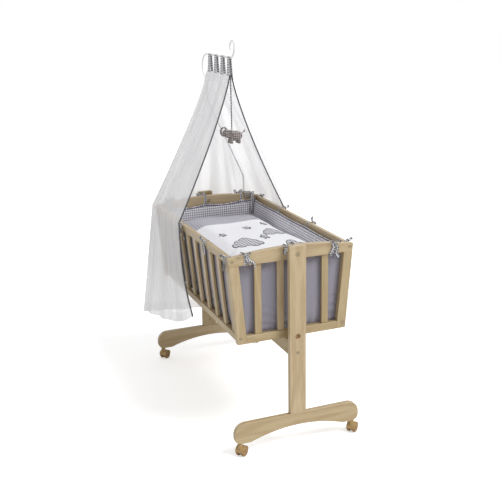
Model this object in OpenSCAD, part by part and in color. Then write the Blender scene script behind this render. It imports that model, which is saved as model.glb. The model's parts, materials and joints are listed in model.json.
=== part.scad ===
// Rocking bassinet hung between two posts on a wheeled stand, with bedding, sheer canopy and a hanging toy.
// Millimetres. X runs along the cradle (+X is the foot end, -X the head end), Y across it, Z up.

/* [Cradle] */
// Outer length over the two end panels
cradle_l = 940; // [800:10:1100]
// Outer width at the bottom edge
cradle_bottom_w = 444; // [420:2:480]
// Outer width at the top of the side rails
cradle_top_w = 504; // [490:2:560]
// Height of the bottom edge above the floor
cradle_bottom_z = 436; // [420:2:470]
// Height of the side rails' top edge above the floor
cradle_top_z = 770; // [740:2:800]
// Thickness of the end panels' boards
end_t = 22; // [18:1:26]
// Rise of the arched end rails at the middle
end_arch = 22; // [12:1:30]
// Height of an end panel's top rail at its ends
end_top_rail_h = 31; // [28:1:40]
// Height of an end panel's bottom rail
end_bottom_rail_h = 30; // [26:1:40]
// Width of an end panel's stiles
end_stile_w = 37; // [34:1:42]
// Spacing of the end panels' slats
end_slat_pitch = 91; // [84:1:94]
// Thickness of the side panels' boards
side_t = 18; // [16:1:22]
// How far the side panels sit in from the end panels' edges
side_inset = 4; // [2:1:6]
// How far the side panels sit up from the end panels' bottom edge
side_lift = 6; // [2:1:10]
// Height of the side rails
side_rail_h = 28; // [26:1:34]
// Number of slats in a side panel
side_slats = 10; // [8:1:11]
// Distance of the outermost side slats' middles from the end panels
side_slat_edge = 34; // [32:1:60]
// Width of every slat
slat_w = 27; // [22:1:30]
// Thickness of every slat
slat_t = 10; // [8:1:12]
// Length of a slat let into each rail
tenon_l = 8; // [5:1:10]

/* [Stand] */
// Gap between an end panel and its post
post_gap = 26; // [22:1:34]
// Thickness of the posts and base rails
post_t = 20; // [18:1:26]
// Width of the posts
post_w = 66; // [62:1:80]
// How far the posts' tops stand above the cradle's rails
post_over = 32; // [26:1:60]
// Radius of the posts' top corners
post_corner_r = 5; // [3:1:24]
// Height of the base rails' top edge
base_top_z = 138; // [132:1:160]
// Height of the pads under the base rails' ends
base_pad_z = 56; // [56:1:64]
// Rise of the arch under a base rail
base_arch = 33; // [20:1:38]
// Overall length of a base rail
base_l = 520; // [500:2:620]
// Length of the flat pad under each end
base_pad_l = 66; // [60:1:80]
// Radius of the base rails' upper corners
base_top_r = 44; // [20:1:50]
// Radius of the base rails' lower corners
base_low_r = 26; // [12:1:28]
// Thickness of the cross beam
beam_t = 22; // [20:1:30]
// Height of the cross beam
beam_h = 60; // [50:1:62]
// Height of the cross beam's underside
beam_z = 355; // [340:1:356]

/* [Pivot and lock] */
// How far the swing pivot lies below the tops of the rails' ends
pivot_down = 1; // [0:1:10]
// Radius of the pivot bolts
pivot_r = 4; // [3:0.5:5]
// Radius of the pivot bolts' heads
pivot_head_r = 8; // [7:0.5:9]
// Wall of the bushes in the end rails
bush_wall = 2; // [1.5:0.5:3]
// Radius of the lock bolts' recess
lock_recess_r = 10; // [9:0.5:11]
// Depth of the lock bolts' recess
lock_recess = 10; // [8:1:12]
// Radius of the lock bolts
lock_r = 4; // [3:0.5:5]

/* [Casters] */
// Radius of the wheels
wheel_r = 19.5; // [18:0.5:20]
// Width of one wheel
wheel_w = 12; // [10:1:14]
// Thickness of the housing's web between the wheels
web_w = 12; // [10:1:14]
// Distance of the axle behind the swivel axis
trail = 11; // [8:1:14]
// Distance of the swivel axes from the base rails' ends
caster_in = 24; // [20:1:35]
// Direction of each axle in plan, from +X
caster_turn = 40; // [0:5:90]
// Radius of the swivel stems
stem_r = 4; // [3.5:0.5:4.5]

/* [Bedding] */
// Thickness of the mattress
mattress_t = 28; // [20:1:60]
// Thickness of the bumper
bumper_t = 16; // [8:1:22]
// How far the side bumpers' upper edge lies below the rail's top
side_bumper_down = 28; // [20:2:90]
// How far the head bumper's upper edge lies below the rail's top
head_bumper_down = 10; // [10:2:90]
// How far the foot bumper's upper edge lies below the rail's top
foot_bumper_down = 26; // [20:2:90]
// How far the duvet's crown lies below the rail's top at the foot end
duvet_foot_down = 20; // [14:2:90]
// How far the duvet's crown lies below the rail's top at the head end
duvet_head_down = 48; // [30:2:130]
// Rounding height of the duvet's edge
duvet_edge = 60; // [30:5:90]

/* [Canopy] */
// Radius of the canopy rod
rod_r = 3; // [2.5:0.5:4]
// Height of the rod's level arm
arm_z = 1431; // [1400:1:1460]
// Height of the canopy's top edge
canopy_top_z = 1362; // [1340:1:1380]
// Thickness of the canopy as a solid
canopy_t = 3; // [2:0.5:4]
// Number of soft folds round the canopy
canopy_folds = 9; // [5:1:12]
// Depth of the folds
fold_d = 5; // [0:1:8]
// Length of a hanging tab along the rod
tab_w = 36; // [20:1:50]
// Spacing of the tabs
tab_pitch = 78; // [60:1:80]
// Height of the canopy's lowest hem, at the back
hem_z = 205; // [190:5:300]

/* [Toy] */
// Radius of the toy's cord
cord_r = 2.5; // [1.5:0.5:2.5]
// Height of the toy's middle
toy_z = 1113; // [1050:1:1150]

/* [Hidden] */
post_top_z = cradle_top_z + post_over;
pivot_z = cradle_top_z - pivot_down;
$fn = 64;
// Clearances: face to face, round a fastener, in a running bearing, round a tenon
seat = 0.3;
hole_gap = 0.25;
run_gap = 0.05;
tenon_gap = 0.2;

joint_gap = 0.05;

// Derived cradle sizes
end_face_x = cradle_l / 2;
end_inner_x = end_face_x - end_t;
lean = atan((cradle_top_w - cradle_bottom_w) / 2 / (cradle_top_z - cradle_bottom_z));
arch_r = (pow(cradle_top_w / 2, 2) + pow(end_arch, 2)) / (2 * end_arch);
end_top_rail_z = cradle_top_z - end_top_rail_h;
end_bottom_rail_z = cradle_bottom_z + end_bottom_rail_h;
side_bottom_z = cradle_bottom_z + side_lift;
side_h = (cradle_top_z - side_bottom_z) / cos(lean);
end_slat_ys = [for (i = [-1.5:1:1.5]) i * end_slat_pitch];
side_slat_pitch = 2 * (end_inner_x - side_slat_edge) / (side_slats - 1);
side_slat_xs = [for (i = [0:side_slats - 1]) (i - (side_slats - 1) / 2) * side_slat_pitch];

// Derived stand sizes
post_inner_x = end_face_x + post_gap;
post_outer_x = post_inner_x + post_t;
post_mid_x = post_inner_x + post_t / 2;
base_arch_half = base_l / 2 - base_pad_l;
caster_y = base_l / 2 - caster_in;
base_arch_r = (pow(base_arch_half, 2) + pow(base_arch, 2)) / (2 * base_arch);
base_mid_z = base_pad_z + base_arch;
beam_mid_z = beam_z + beam_h / 2;
lock_z = cradle_bottom_z + end_bottom_rail_h / 2;

// Fasteners: joint bolts with barrel nuts, and wooden dowels
bolt_r = 3;
bolt_head_r = 6;
bolt_head_h = 3.5;
bolt_sink = 4;
nut_r = 5;
nut_l = 12;
nut_in = 34;
bolt_past_nut = 8;
dowel_r = 4;
dowel_l = 30;
post_dowel_y = 24;
beam_dowel_z = 19;
stile_dowel_in = 27;

// Pivot hardware
pivot_sink = 5.5;
pivot_head_h = 5;
bush_flange = 2;
bush_flange_r = 10;
pivot_nut_h = 7;
pivot_nut_r = 7.5;
spacer_r = 10;

// Ribbon ties round the rails; the bumpers stand off the rails by one ribbon
ribbon = 1.2;
ribbon_w = 12;
tie_gap = 2 * seat + ribbon;

// Slatted base under the mattress
batten_h = 8;
batten_w = 14;
base_slat_t = 6;
base_slat_w = 58;
base_slats_n = 9;
batten_z = side_bottom_z + 0.5;
base_slat_z = batten_z + batten_h;
mattress_z = base_slat_z + base_slat_t;
bedding_z = mattress_z + mattress_t;
side_bumper_top_z = cradle_top_z - side_bumper_down;
head_bumper_top_z = cradle_top_z - head_bumper_down;
foot_bumper_top_z = cradle_top_z - foot_bumper_down;
duvet_foot_z = cradle_top_z - duvet_foot_down;
duvet_head_z = cradle_top_z - duvet_head_down;

// Casters
axle_r = 2.5;
axle_z = wheel_r;
hood_r = wheel_r + 3;
well_r = wheel_r + 0.7;
wheel_gap = 0.5;
axle_l = web_w + 2 * wheel_gap + 2 * wheel_w - 4;
hood_w = web_w + 2 * wheel_gap + 2 * wheel_w - 2;
socket_r = 5.5;
socket_l = 36;
socket_flange = 1.5;
socket_flange_r = 10;
neck_r = 9;
neck_top_z = base_pad_z - socket_flange - seat;
stem_low_z = axle_z + 20.5;

// Canopy rod, clamp and tabs
clamp_in = 66;
clamp_y = cradle_top_w / 2 - clamp_in;
clamp_wall = 8;
clamp_jaw_h = 24;
clamp_w = 40;
clamp_side = 13;
screw_in = 19;
rod_x = -end_face_x - clamp_wall - rod_r - 3;
rod_foot_z = cradle_top_z - 24;
arm_back_x = -420;
arm_front_x = -121;
tab_t = 2;
tab_mid_x = -258;
rod_top_x = -428;
rod_route = [
    [rod_x, clamp_y, rod_foot_z], [rod_x, clamp_y, 800], [rod_x, clamp_y, 850],
    [rod_x + 3, clamp_y - 7, 874], [mix(rod_x, rod_top_x, 3 / 7), clamp_y * 107 / 186, 1020],
    [mix(rod_x, rod_top_x, 19 / 28), clamp_y * 56 / 186, 1120],
    [mix(rod_x, rod_top_x, 51 / 56), clamp_y * 10 / 186, 1214],
    [rod_top_x, 0, 1246], [rod_top_x, 0, 1300], [rod_top_x - 14, 0, 1328],
    [rod_top_x - 44, 0, 1350], [rod_top_x - 53, 0, 1378], [rod_top_x - 44, 0, 1406],
    [rod_top_x - 22, 0, 1424], [arm_back_x, 0, arm_z], [-412, 0, arm_z], [-260, 0, arm_z],
    [arm_front_x - 3, 0, arm_z], [arm_front_x, 0, arm_z], [-104, 0, 1438], [-88, 0, 1455],
    [-81, 0, 1474], [-85, 0, 1491], [-100, 0, 1499], [-119, 0, 1493], [-131, 0, 1477], [-126, 0, 1461]
];

// Canopy outline
canopy_slot = cord_r + seat;
canopy_left = cradle_top_w / 2 - 1;
canopy_right = cradle_top_w / 2 + 50;
canopy_sweep = 164;
hem_rise = 150;
corner_rise = 62;
front_hem_z = hem_z + hem_rise + corner_rise;
canopy_behind = 75;
canopy_back_top = -412;
canopy_back_rail = -end_face_x - canopy_behind;
canopy_front_left = -103;
canopy_front_right = -182;
canopy_bend_top = 8;
canopy_bend_rail = 60;
rod_notch_z = 1250;
rod_notch_x = -520;
rod_notch_l = 106;
canopy_front_top = -128;
canopy_corner = 0.36;
canopy_billow = 25;
canopy_steps = 36;
canopy_rows = 14;
canopy_rail_row = 8;

// Toy cord: from the canopy's front top corner down to the toy
toy_x = -131;
toy_y = 5;
toy_pivot_z = 1358;
toy_top = 28;
cord_route = [
    [-131, 0, 1361], [-131, 0, 1340], [-131, 0, 1310], [-131, 0, 1280], [-131, 0, 1250],
    [-131, 0, 1220], [-131, 0, 1190], [-131, 0, 1165], [toy_x, 0, toy_z + toy_top]
];

HEAD = -1;
FOOT = 1;
LEFT = -1;
RIGHT = 1;

pine = [0.80, 0.68, 0.48];
steel = [0.75, 0.75, 0.76];
brown = [0.52, 0.34, 0.17];
grey_cloth = [0.55, 0.54, 0.58];
check_cloth = [0.66, 0.65, 0.68];
white_cloth = [0.95, 0.95, 0.96];

// ---------------------------------------------------------------- helpers

// Half width of an end panel at a height
function half_w(z) =
    cradle_bottom_w / 2
    + (cradle_top_w - cradle_bottom_w) / 2 * (z - cradle_bottom_z) / (cradle_top_z - cradle_bottom_z);
// Half width between the side panels at a height
function inner_w(z) = half_w(z) - side_inset - side_t / cos(lean);
// Height of an end panel's arched top edge, across the cradle
function arch_top(y) = cradle_top_z + end_arch - arch_r + sqrt(arch_r * arch_r - y * y);
function mix(a, b, t) = a + (b - a) * t;
function unit(v) = v / norm(v);

// A profile drawn across the cradle (Y, Z), made into a board t thick along +X
module board_across(t) {
    rotate([90, 0, 90]) linear_extrude(t) children();
}

// A cylinder along X from x0 to x1
module rod_along_x(r, x0, x1) {
    translate([min(x0, x1), 0, 0]) rotate([0, 90, 0]) cylinder(r = r, h = abs(x1 - x0));
}

// A cylinder along Y, centred
module rod_along_y(r, l) {
    rotate([90, 0, 0]) cylinder(r = r, h = l, center = true);
}

// Places a piece drawn for the foot end at either end
module at_end(end) {
    mirror([end < 0 ? 1 : 0, 0, 0]) children();
}

// Places a piece drawn in the right side panel's own plane: X along, Y outwards (0 at the outer
// face), Z up the slope from the panel's bottom edge
module at_side(side) {
    mirror([0, side < 0 ? 1 : 0, 0])
        translate([0, half_w(side_bottom_z) - side_inset, side_bottom_z])
            rotate([-lean, 0, 0]) children();
}

// Centre of a side rail's end, where its joint bolt runs: [y, z]
function side_joint(v) = [
    half_w(side_bottom_z) - side_inset - side_t / 2 * cos(lean) + v * sin(lean),
    side_bottom_z + side_t / 2 * sin(lean) + v * cos(lean)
];
low_joint = side_joint(side_rail_h / 2);
top_joint = side_joint(side_h - side_rail_h / 2);

// Smooth route through hand-set points (Catmull-Rom), n steps to a span
function route_point(a, b, c, d, t) =
    0.5 * (2 * b + (c - a) * t + (2 * a - 5 * b + 4 * c - d) * t * t + (3 * b - a - 3 * c + d) * t * t * t);
function smooth_route(p, n) = concat(
    [for (i = [0:len(p) - 2]) for (k = [0:n - 1])
        route_point(p[max(i - 1, 0)], p[i], p[i + 1], p[min(i + 2, len(p) - 1)], k / n)],
    [p[len(p) - 1]]
);

// A round tube swept along a route that never runs along Y
module swept_tube(p, r, sides) {
    last = len(p) - 1;
    rings = [for (i = [0:last])
        let (t = unit(p[min(i + 1, last)] - p[max(i - 1, 0)]))
        let (u = unit(cross(t, [0, 1, 0])), v = cross(u, t))
        for (k = [0:sides - 1]) p[i] + r * (u * cos(360 * k / sides) + v * sin(360 * k / sides))];
    walls = [for (i = [0:last - 1]) for (k = [0:sides - 1])
        let (a = i * sides + k, b = i * sides + (k + 1) % sides)
        each [[a, b, b + sides], [a, b + sides, a + sides]]];
    polyhedron(rings, concat(walls,
        [[for (k = [sides - 1:-1:0]) k]],
        [[for (k = [0:sides - 1]) last * sides + k]]));
}

// A closed shell between two grids of points with the same rows and columns, outer face first
module grid_shell(outer, inner, rows, cols) {
    n = rows * cols;
    quads = [for (i = [0:rows - 2]) for (j = [0:cols - 2])
        let (a = i * cols + j, b = a + 1, c = a + cols + 1, d = a + cols)
        each [[a, b, c], [a, c, d], [n + a, n + c, n + b], [n + a, n + d, n + c]]];
    top = [for (j = [0:cols - 2]) each [[j, n + j, n + j + 1], [j, n + j + 1, j + 1]]];
    low = [for (j = [0:cols - 2])
        let (a = (rows - 1) * cols + j)
        each [[a, a + 1, n + a + 1], [a, n + a + 1, n + a]]];
    first = [for (i = [0:rows - 2])
        let (a = i * cols)
        each [[a, a + cols, n + a + cols], [a, n + a + cols, n + a]]];
    final = [for (i = [0:rows - 2])
        let (a = i * cols + cols - 1)
        each [[a, n + a, n + a + cols], [a, n + a + cols, a + cols]]];
    polyhedron(concat(outer, inner), concat(quads, top, low, first, final));
}

// ---------------------------------------------------------------- stand

// Side view of a base rail: flat pads at the ends, an arch between them and rounded ends
module base_rail_outline() {
    difference() {
        translate([-base_l / 2, base_pad_z]) square([base_l, base_top_z - base_pad_z]);
        translate([0, base_mid_z - base_arch_r]) circle(r = base_arch_r, $fn = 180);
        for (m = [0, 1]) mirror([m, 0]) {
            translate([base_l / 2 - base_top_r, base_top_z - base_top_r]) corner_cut(base_top_r);
            translate([base_l / 2 - base_low_r, base_pad_z + base_low_r]) mirror([0, 1])
                corner_cut(base_low_r);
        }
    }
}

// What a rounded corner takes off a square one, with the round's centre at the origin
module corner_cut(r) {
    difference() {
        square(r + 1);
        circle(r = r);
    }
}

module base_rail(end) {
    color(pine) at_end(end) difference() {
        translate([post_inner_x, 0, 0]) board_across(post_t) base_rail_outline();
        for (s = [-1, 1]) {
            translate([post_mid_x, s * caster_y, base_pad_z - 1])
                cylinder(r = socket_r + hole_gap, h = socket_l + 1 + hole_gap);
            translate([post_mid_x, s * post_dowel_y, base_top_z - dowel_l / 2 - hole_gap])
                cylinder(r = dowel_r + hole_gap, h = dowel_l);
        }
        translate([post_mid_x, 0, base_mid_z - 1]) cylinder(r = bolt_r + hole_gap, h = base_top_z);
        translate([post_mid_x, 0, base_mid_z - 10]) cylinder(r = bolt_head_r + hole_gap, h = 10 + bolt_sink);
    }
}

// Front view of a post
module post_outline() {
    difference() {
        translate([-post_w / 2, base_top_z]) square([post_w, post_top_z - base_top_z]);
        for (m = [0, 1]) mirror([m, 0])
            translate([post_w / 2 - post_corner_r, post_top_z - post_corner_r]) corner_cut(post_corner_r);
    }
}

module post(end) {
    color(pine) at_end(end) difference() {
        translate([post_inner_x, 0, 0]) board_across(post_t) post_outline();
        translate([0, 0, pivot_z]) {
            rod_along_x(pivot_r + hole_gap, post_inner_x - 1, post_outer_x + 1);
            rod_along_x(pivot_head_r + hole_gap, post_outer_x - pivot_sink, post_outer_x + 1);
        }
        translate([0, 0, lock_z]) {
            rod_along_x(lock_r + hole_gap, post_inner_x - 1, post_outer_x + 1);
            rod_along_x(lock_recess_r, post_outer_x - lock_recess, post_outer_x + 1);
        }
        translate([0, 0, beam_mid_z]) {
            rod_along_x(bolt_r + hole_gap, post_inner_x - 1, post_outer_x + 1);
            rod_along_x(bolt_head_r + hole_gap, post_outer_x - bolt_sink, post_outer_x + 1);
            for (s = [-1, 1]) translate([0, 0, s * beam_dowel_z])
                rod_along_x(dowel_r + hole_gap, post_inner_x - 1, post_inner_x + dowel_l / 2);
        }
        translate([post_mid_x, 0, base_top_z - 1]) {
            cylinder(r = bolt_r + hole_gap, h = nut_in + bolt_past_nut + 2);
            for (s = [-1, 1]) translate([0, s * post_dowel_y, 0])
                cylinder(r = dowel_r + hole_gap, h = dowel_l / 2 + 1 + hole_gap);
        }
        translate([0, 0, base_top_z + nut_in])
            rod_along_x(nut_r + hole_gap, post_inner_x - 1, post_mid_x + nut_l / 2 + hole_gap);
    }
}

module cross_beam() {
    color(pine) difference() {
        translate([-post_inner_x, -beam_t / 2, beam_z]) cube([2 * post_inner_x, beam_t, beam_h]);
        for (end = [HEAD, FOOT]) at_end(end) translate([0, 0, beam_mid_z]) {
            rod_along_x(bolt_r + hole_gap, post_inner_x - nut_in - bolt_past_nut - 1, post_inner_x + 1);
            translate([post_inner_x - nut_in, 0, 0]) rod_along_y(nut_r + hole_gap, beam_t + 2);
            for (s = [-1, 1]) translate([0, 0, s * beam_dowel_z])
                rod_along_x(dowel_r + hole_gap, post_inner_x - dowel_l / 2 - 2 * hole_gap, post_inner_x + 1);
        }
    }
}

// A joint bolt along +X: its head's underside at the origin, its socket in the head's outer face
module joint_bolt(shank) {
    difference() {
        union() {
            rod_along_x(bolt_head_r, 0, bolt_head_h);
            rod_along_x(bolt_r, -shank, 1);
        }
        translate([bolt_head_h - 2, 0, 0]) rotate([0, 90, 0]) cylinder(r = 2.3, h = 3, $fn = 6);
    }
}

// Joint bolts of the stand: two through the posts into the beam, two up through the base rails
module frame_bolts() {
    color(steel) for (end = [HEAD, FOOT]) at_end(end) {
        translate([post_outer_x - bolt_sink, 0, beam_mid_z])
            joint_bolt(post_t - bolt_sink + nut_in + bolt_past_nut);
        translate([post_mid_x, 0, base_mid_z + bolt_sink]) rotate([0, 90, 0])
            joint_bolt(base_top_z - base_mid_z - bolt_sink + nut_in + bolt_past_nut);
    }
}

// A barrel nut along Y with its cross bore along X
module barrel_nut(l) {
    difference() {
        rod_along_y(nut_r, l);
        rod_along_x(bolt_r + run_gap, -nut_r - 1, nut_r + 1);
    }
}

module frame_barrel_nuts() {
    color(steel) for (end = [HEAD, FOOT]) at_end(end) {
        translate([post_inner_x - nut_in, 0, beam_mid_z]) barrel_nut(nut_l);
        translate([post_mid_x, 0, base_top_z + nut_in]) rotate([0, 90, 90]) barrel_nut(nut_l);
    }
}

module frame_dowels() {
    color(pine) for (end = [HEAD, FOOT]) at_end(end) for (s = [-1, 1]) {
        translate([post_mid_x, s * post_dowel_y, base_top_z - dowel_l / 2])
            cylinder(r = dowel_r, h = dowel_l);
        translate([0, 0, beam_mid_z + s * beam_dowel_z])
            rod_along_x(dowel_r, post_inner_x - dowel_l / 2, post_inner_x + dowel_l / 2 - hole_gap);
    }
}

module pivot_bolts() {
    color(steel) for (end = [HEAD, FOOT]) at_end(end) translate([0, 0, pivot_z]) difference() {
        union() {
            rod_along_x(pivot_head_r, post_outer_x - pivot_sink, post_outer_x - pivot_sink + pivot_head_h);
            rod_along_x(pivot_r, end_inner_x - pivot_nut_h - 3, post_outer_x - pivot_sink + 1);
        }
        translate([post_outer_x - pivot_sink + pivot_head_h - 3, 0, 0]) rotate([0, 90, 0])
            cylinder(r = 3.4, h = 4, $fn = 6);
    }
}

// Distance sleeves between the posts and the bushes
module pivot_spacers() {
    color(brown) for (end = [HEAD, FOOT]) at_end(end) translate([0, 0, pivot_z]) difference() {
        rod_along_x(spacer_r, end_face_x + bush_flange + seat, post_inner_x);
        rod_along_x(pivot_r + run_gap, end_face_x, post_inner_x + 1);
    }
}

// Hexagon lock nuts on the pivot bolts, each with its washer face, inside the cradle
module pivot_nuts() {
    color(steel) for (end = [HEAD, FOOT]) at_end(end) translate([0, 0, pivot_z]) difference() {
        union() {
            rod_along_x(pivot_nut_r, end_inner_x - seat - 1.5, end_inner_x - seat);
            translate([end_inner_x - seat - pivot_nut_h, 0, 0]) rotate([0, 90, 0])
                cylinder(r = pivot_nut_r, h = pivot_nut_h - 1, $fn = 6);
        }
        rod_along_x(pivot_r + run_gap, end_inner_x - 20, end_inner_x + 1);
    }
}

// Lock bolts, drawn back so that the cradle can rock
module lock_bolts() {
    color(brown) for (end = [HEAD, FOOT]) at_end(end) translate([0, 0, lock_z]) difference() {
        union() {
            rod_along_x(lock_recess_r - 1.5, post_outer_x - lock_recess, post_outer_x - lock_recess + 4);
            rod_along_x(lock_r, end_face_x + 4, post_outer_x - lock_recess + 1);
        }
        translate([post_outer_x - lock_recess + 2.5, -lock_recess_r, -0.9])
            cube([4, 2 * lock_recess_r, 1.8]);
    }
}

// ---------------------------------------------------------------- end panels

module end_top_rail_outline() {
    intersection() {
        polygon([for (s = [-1, 1], z = s < 0 ? [end_top_rail_z, cradle_top_z + end_arch]
                : [cradle_top_z + end_arch, end_top_rail_z]) [s * half_w(z), z]]);
        translate([0, cradle_top_z + end_arch - arch_r]) circle(r = arch_r, $fn = 180);
    }
}

// Mortises for the slats of an end panel, opening at height z towards d (+1 up, -1 down)
module end_mortises(z, d) {
    for (y = end_slat_ys)
        translate([end_inner_x + end_t / 2, y, z + d * tenon_l / 2])
            cube([slat_t + 2 * tenon_gap, slat_w + 2 * tenon_gap, tenon_l + 2 * tenon_gap], center = true);
}

// Holes for the joint bolts through an end panel
module panel_bolt_holes(joint) {
    for (s = [-1, 1]) translate([0, s * joint[0], joint[1]]) {
        rod_along_x(bolt_r + hole_gap, end_inner_x - 1, end_face_x + 1);
        rod_along_x(bolt_head_r + hole_gap, end_face_x - bolt_sink, end_face_x + 1);
    }
}

// Dowels that join an end panel's stiles to its rails, larger by gap where they are holes
module end_dowels(gap) {
    for (s = [-1, 1]) {
        translate([end_inner_x + end_t / 2, s * (half_w(end_top_rail_z) - stile_dowel_in),
                end_top_rail_z - dowel_l / 2 - gap])
            cylinder(r = dowel_r + gap, h = dowel_l + 2 * gap);
        translate([end_inner_x + end_t / 2, s * (half_w(lock_z) - end_stile_w), lock_z])
            rod_along_y(dowel_r + gap, dowel_l - 2 + 2 * gap);
    }
}

module end_top_rail(end) {
    color(pine) at_end(end) difference() {
        translate([end_inner_x, 0, 0]) board_across(end_t) end_top_rail_outline();
        end_mortises(end_top_rail_z, 1);
        panel_bolt_holes(top_joint);
        end_dowels(hole_gap);
        translate([0, 0, pivot_z])
            rod_along_x(pivot_r + bush_wall + run_gap, end_inner_x - 1, end_face_x + 1);
    }
}

module end_bottom_rail(end) {
    color(pine) at_end(end) difference() {
        translate([end_inner_x, 0, 0]) board_across(end_t)
            polygon([for (s = [-1, 1], z = s < 0 ? [cradle_bottom_z, end_bottom_rail_z]
                    : [end_bottom_rail_z, cradle_bottom_z]) [s * (half_w(z) - end_stile_w - joint_gap), z]]);
        end_mortises(end_bottom_rail_z, -1);
        end_dowels(hole_gap);
        translate([0, 0, lock_z]) rod_along_x(lock_r + 2 * hole_gap, end_face_x - 15, end_face_x + 1);
    }
}

module end_stiles(end) {
    color(pine) at_end(end) difference() {
        for (s = [-1, 1]) translate([end_inner_x, 0, 0]) board_across(end_t)
            polygon([
                [s * (half_w(cradle_bottom_z) - end_stile_w), cradle_bottom_z],
                [s * half_w(cradle_bottom_z), cradle_bottom_z],
                [s * half_w(end_top_rail_z), end_top_rail_z],
                [s * (half_w(end_top_rail_z) - end_stile_w), end_top_rail_z]
            ]);
        panel_bolt_holes(low_joint);
        end_dowels(hole_gap);
    }
}

module end_slats(end) {
    color(pine) at_end(end) for (y = end_slat_ys)
        translate([end_inner_x + end_t / 2 - slat_t / 2, y - slat_w / 2, end_bottom_rail_z - tenon_l])
            cube([slat_t, slat_w, end_top_rail_z - end_bottom_rail_z + 2 * tenon_l]);
}

module pivot_bushes() {
    color(steel) for (end = [HEAD, FOOT]) at_end(end) translate([0, 0, pivot_z]) difference() {
        union() {
            rod_along_x(pivot_r + bush_wall, end_inner_x, end_face_x + 1);
            rod_along_x(bush_flange_r, end_face_x, end_face_x + bush_flange);
        }
        rod_along_x(pivot_r + run_gap, end_inner_x - 1, end_face_x + bush_flange + 1);
    }
}

module panel_bolts() {
    color(steel) for (end = [HEAD, FOOT], s = [-1, 1], joint = [low_joint, top_joint])
        at_end(end) translate([end_face_x - bolt_sink, s * joint[0], joint[1]])
            joint_bolt(end_t - bolt_sink + nut_in + bolt_past_nut);
}

module panel_barrel_nuts() {
    heights = [side_rail_h / 2, side_h - side_rail_h / 2];
    color(steel) for (end = [HEAD, FOOT], side = [LEFT, RIGHT], v = heights)
        at_end(end) at_side(side) translate([end_inner_x - nut_in, -side_t / 2, v]) barrel_nut(nut_l);
}

module panel_dowels() {
    color(pine) for (end = [HEAD, FOOT]) at_end(end) end_dowels(0);
}

// ---------------------------------------------------------------- side panels

// A side rail with its bottom edge at v up the slope, and its slats' mortises opening towards d
module side_rail(side, v, d) {
    mortise_v = d > 0 ? v + side_rail_h : v;
    color(pine) at_side(side) difference() {
        translate([-end_inner_x, -side_t, v]) cube([2 * end_inner_x, side_t, side_rail_h]);
        for (x = side_slat_xs)
            translate([x, -side_t / 2, mortise_v - d * tenon_l / 2])
                cube([slat_w, slat_t, tenon_l] + 2 * tenon_gap * [1, 1, 1], center = true);
        for (end = [HEAD, FOOT]) at_end(end) translate([0, -side_t / 2, v + side_rail_h / 2]) {
            rod_along_x(bolt_r + hole_gap, end_inner_x - nut_in - bolt_past_nut - 1, end_inner_x + 1);
            translate([end_inner_x - nut_in, -(side_t - nut_l) / 4 - 1, 0])
                rod_along_y(nut_r + hole_gap, (side_t + nut_l) / 2 + 2);
        }
    }
}

module side_slats_of(side) {
    color(pine) at_side(side) for (x = side_slat_xs)
        translate([x - slat_w / 2, -side_t / 2 - slat_t / 2, side_rail_h - tenon_l])
            cube([slat_w, slat_t, side_h - 2 * side_rail_h + 2 * tenon_l]);
}

// ---------------------------------------------------------------- slatted base and bedding

// Battens along the inside of the side panels' bottom rails
module base_battens() {
    color(pine) for (s = [-1, 1])
        translate([-end_inner_x + seat, s > 0 ? inner_w(batten_z) - batten_w - seat
                : -inner_w(batten_z) + seat, batten_z])
            cube([2 * (end_inner_x - seat), batten_w, batten_h]);
}

module base_slats() {
    span = 2 * end_inner_x - 24 - base_slat_w;
    w = 2 * (inner_w(base_slat_z) - seat);
    color(pine) for (i = [0:base_slats_n - 1])
        translate([-span / 2 + i * span / (base_slats_n - 1) - base_slat_w / 2, -w / 2, base_slat_z])
            cube([base_slat_w, w, base_slat_t]);
}

module mattress() {
    l = end_inner_x - tie_gap - bumper_t - 1;
    w = inner_w(mattress_z) - (tie_gap + bumper_t) / cos(lean) - 1;
    color(white_cloth) difference() {
        translate([-l, -w, mattress_z]) cube([2 * l, 2 * w, mattress_t]);
        for (a = [-1, 1], b = [-1, 1]) scale([a, b, 1])
            translate([l - 12, w - 12, mattress_z - 1]) linear_extrude(mattress_t + 2)
                corner_cut(12);
    }
}

// A bumper pad across the cradle, inside an end panel; the bumpers stand on the slats round the mattress
module end_bumper(end, top_z) {
    z0 = mattress_z + seat;
    color(grey_cloth) at_end(end) translate([end_inner_x - tie_gap - bumper_t, 0, 0]) board_across(bumper_t)
        polygon([
            [-inner_w(z0) + tie_gap, z0], [inner_w(z0) - tie_gap, z0],
            [inner_w(top_z) - tie_gap, top_z], [-inner_w(top_z) + tie_gap, top_z]
        ]);
}

// A bumper pad along the cradle, inside a side panel
module side_bumper(side) {
    v0 = (mattress_z + seat + (side_t + tie_gap + bumper_t) * sin(lean) - side_bottom_z) / cos(lean);
    l = end_inner_x - tie_gap - bumper_t - seat;
    color(grey_cloth) at_side(side) translate([-l, -side_t - tie_gap - bumper_t, v0])
        cube([2 * l, bumper_t, (side_bumper_top_z - side_bottom_z) / cos(lean) - v0]);
}

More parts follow.
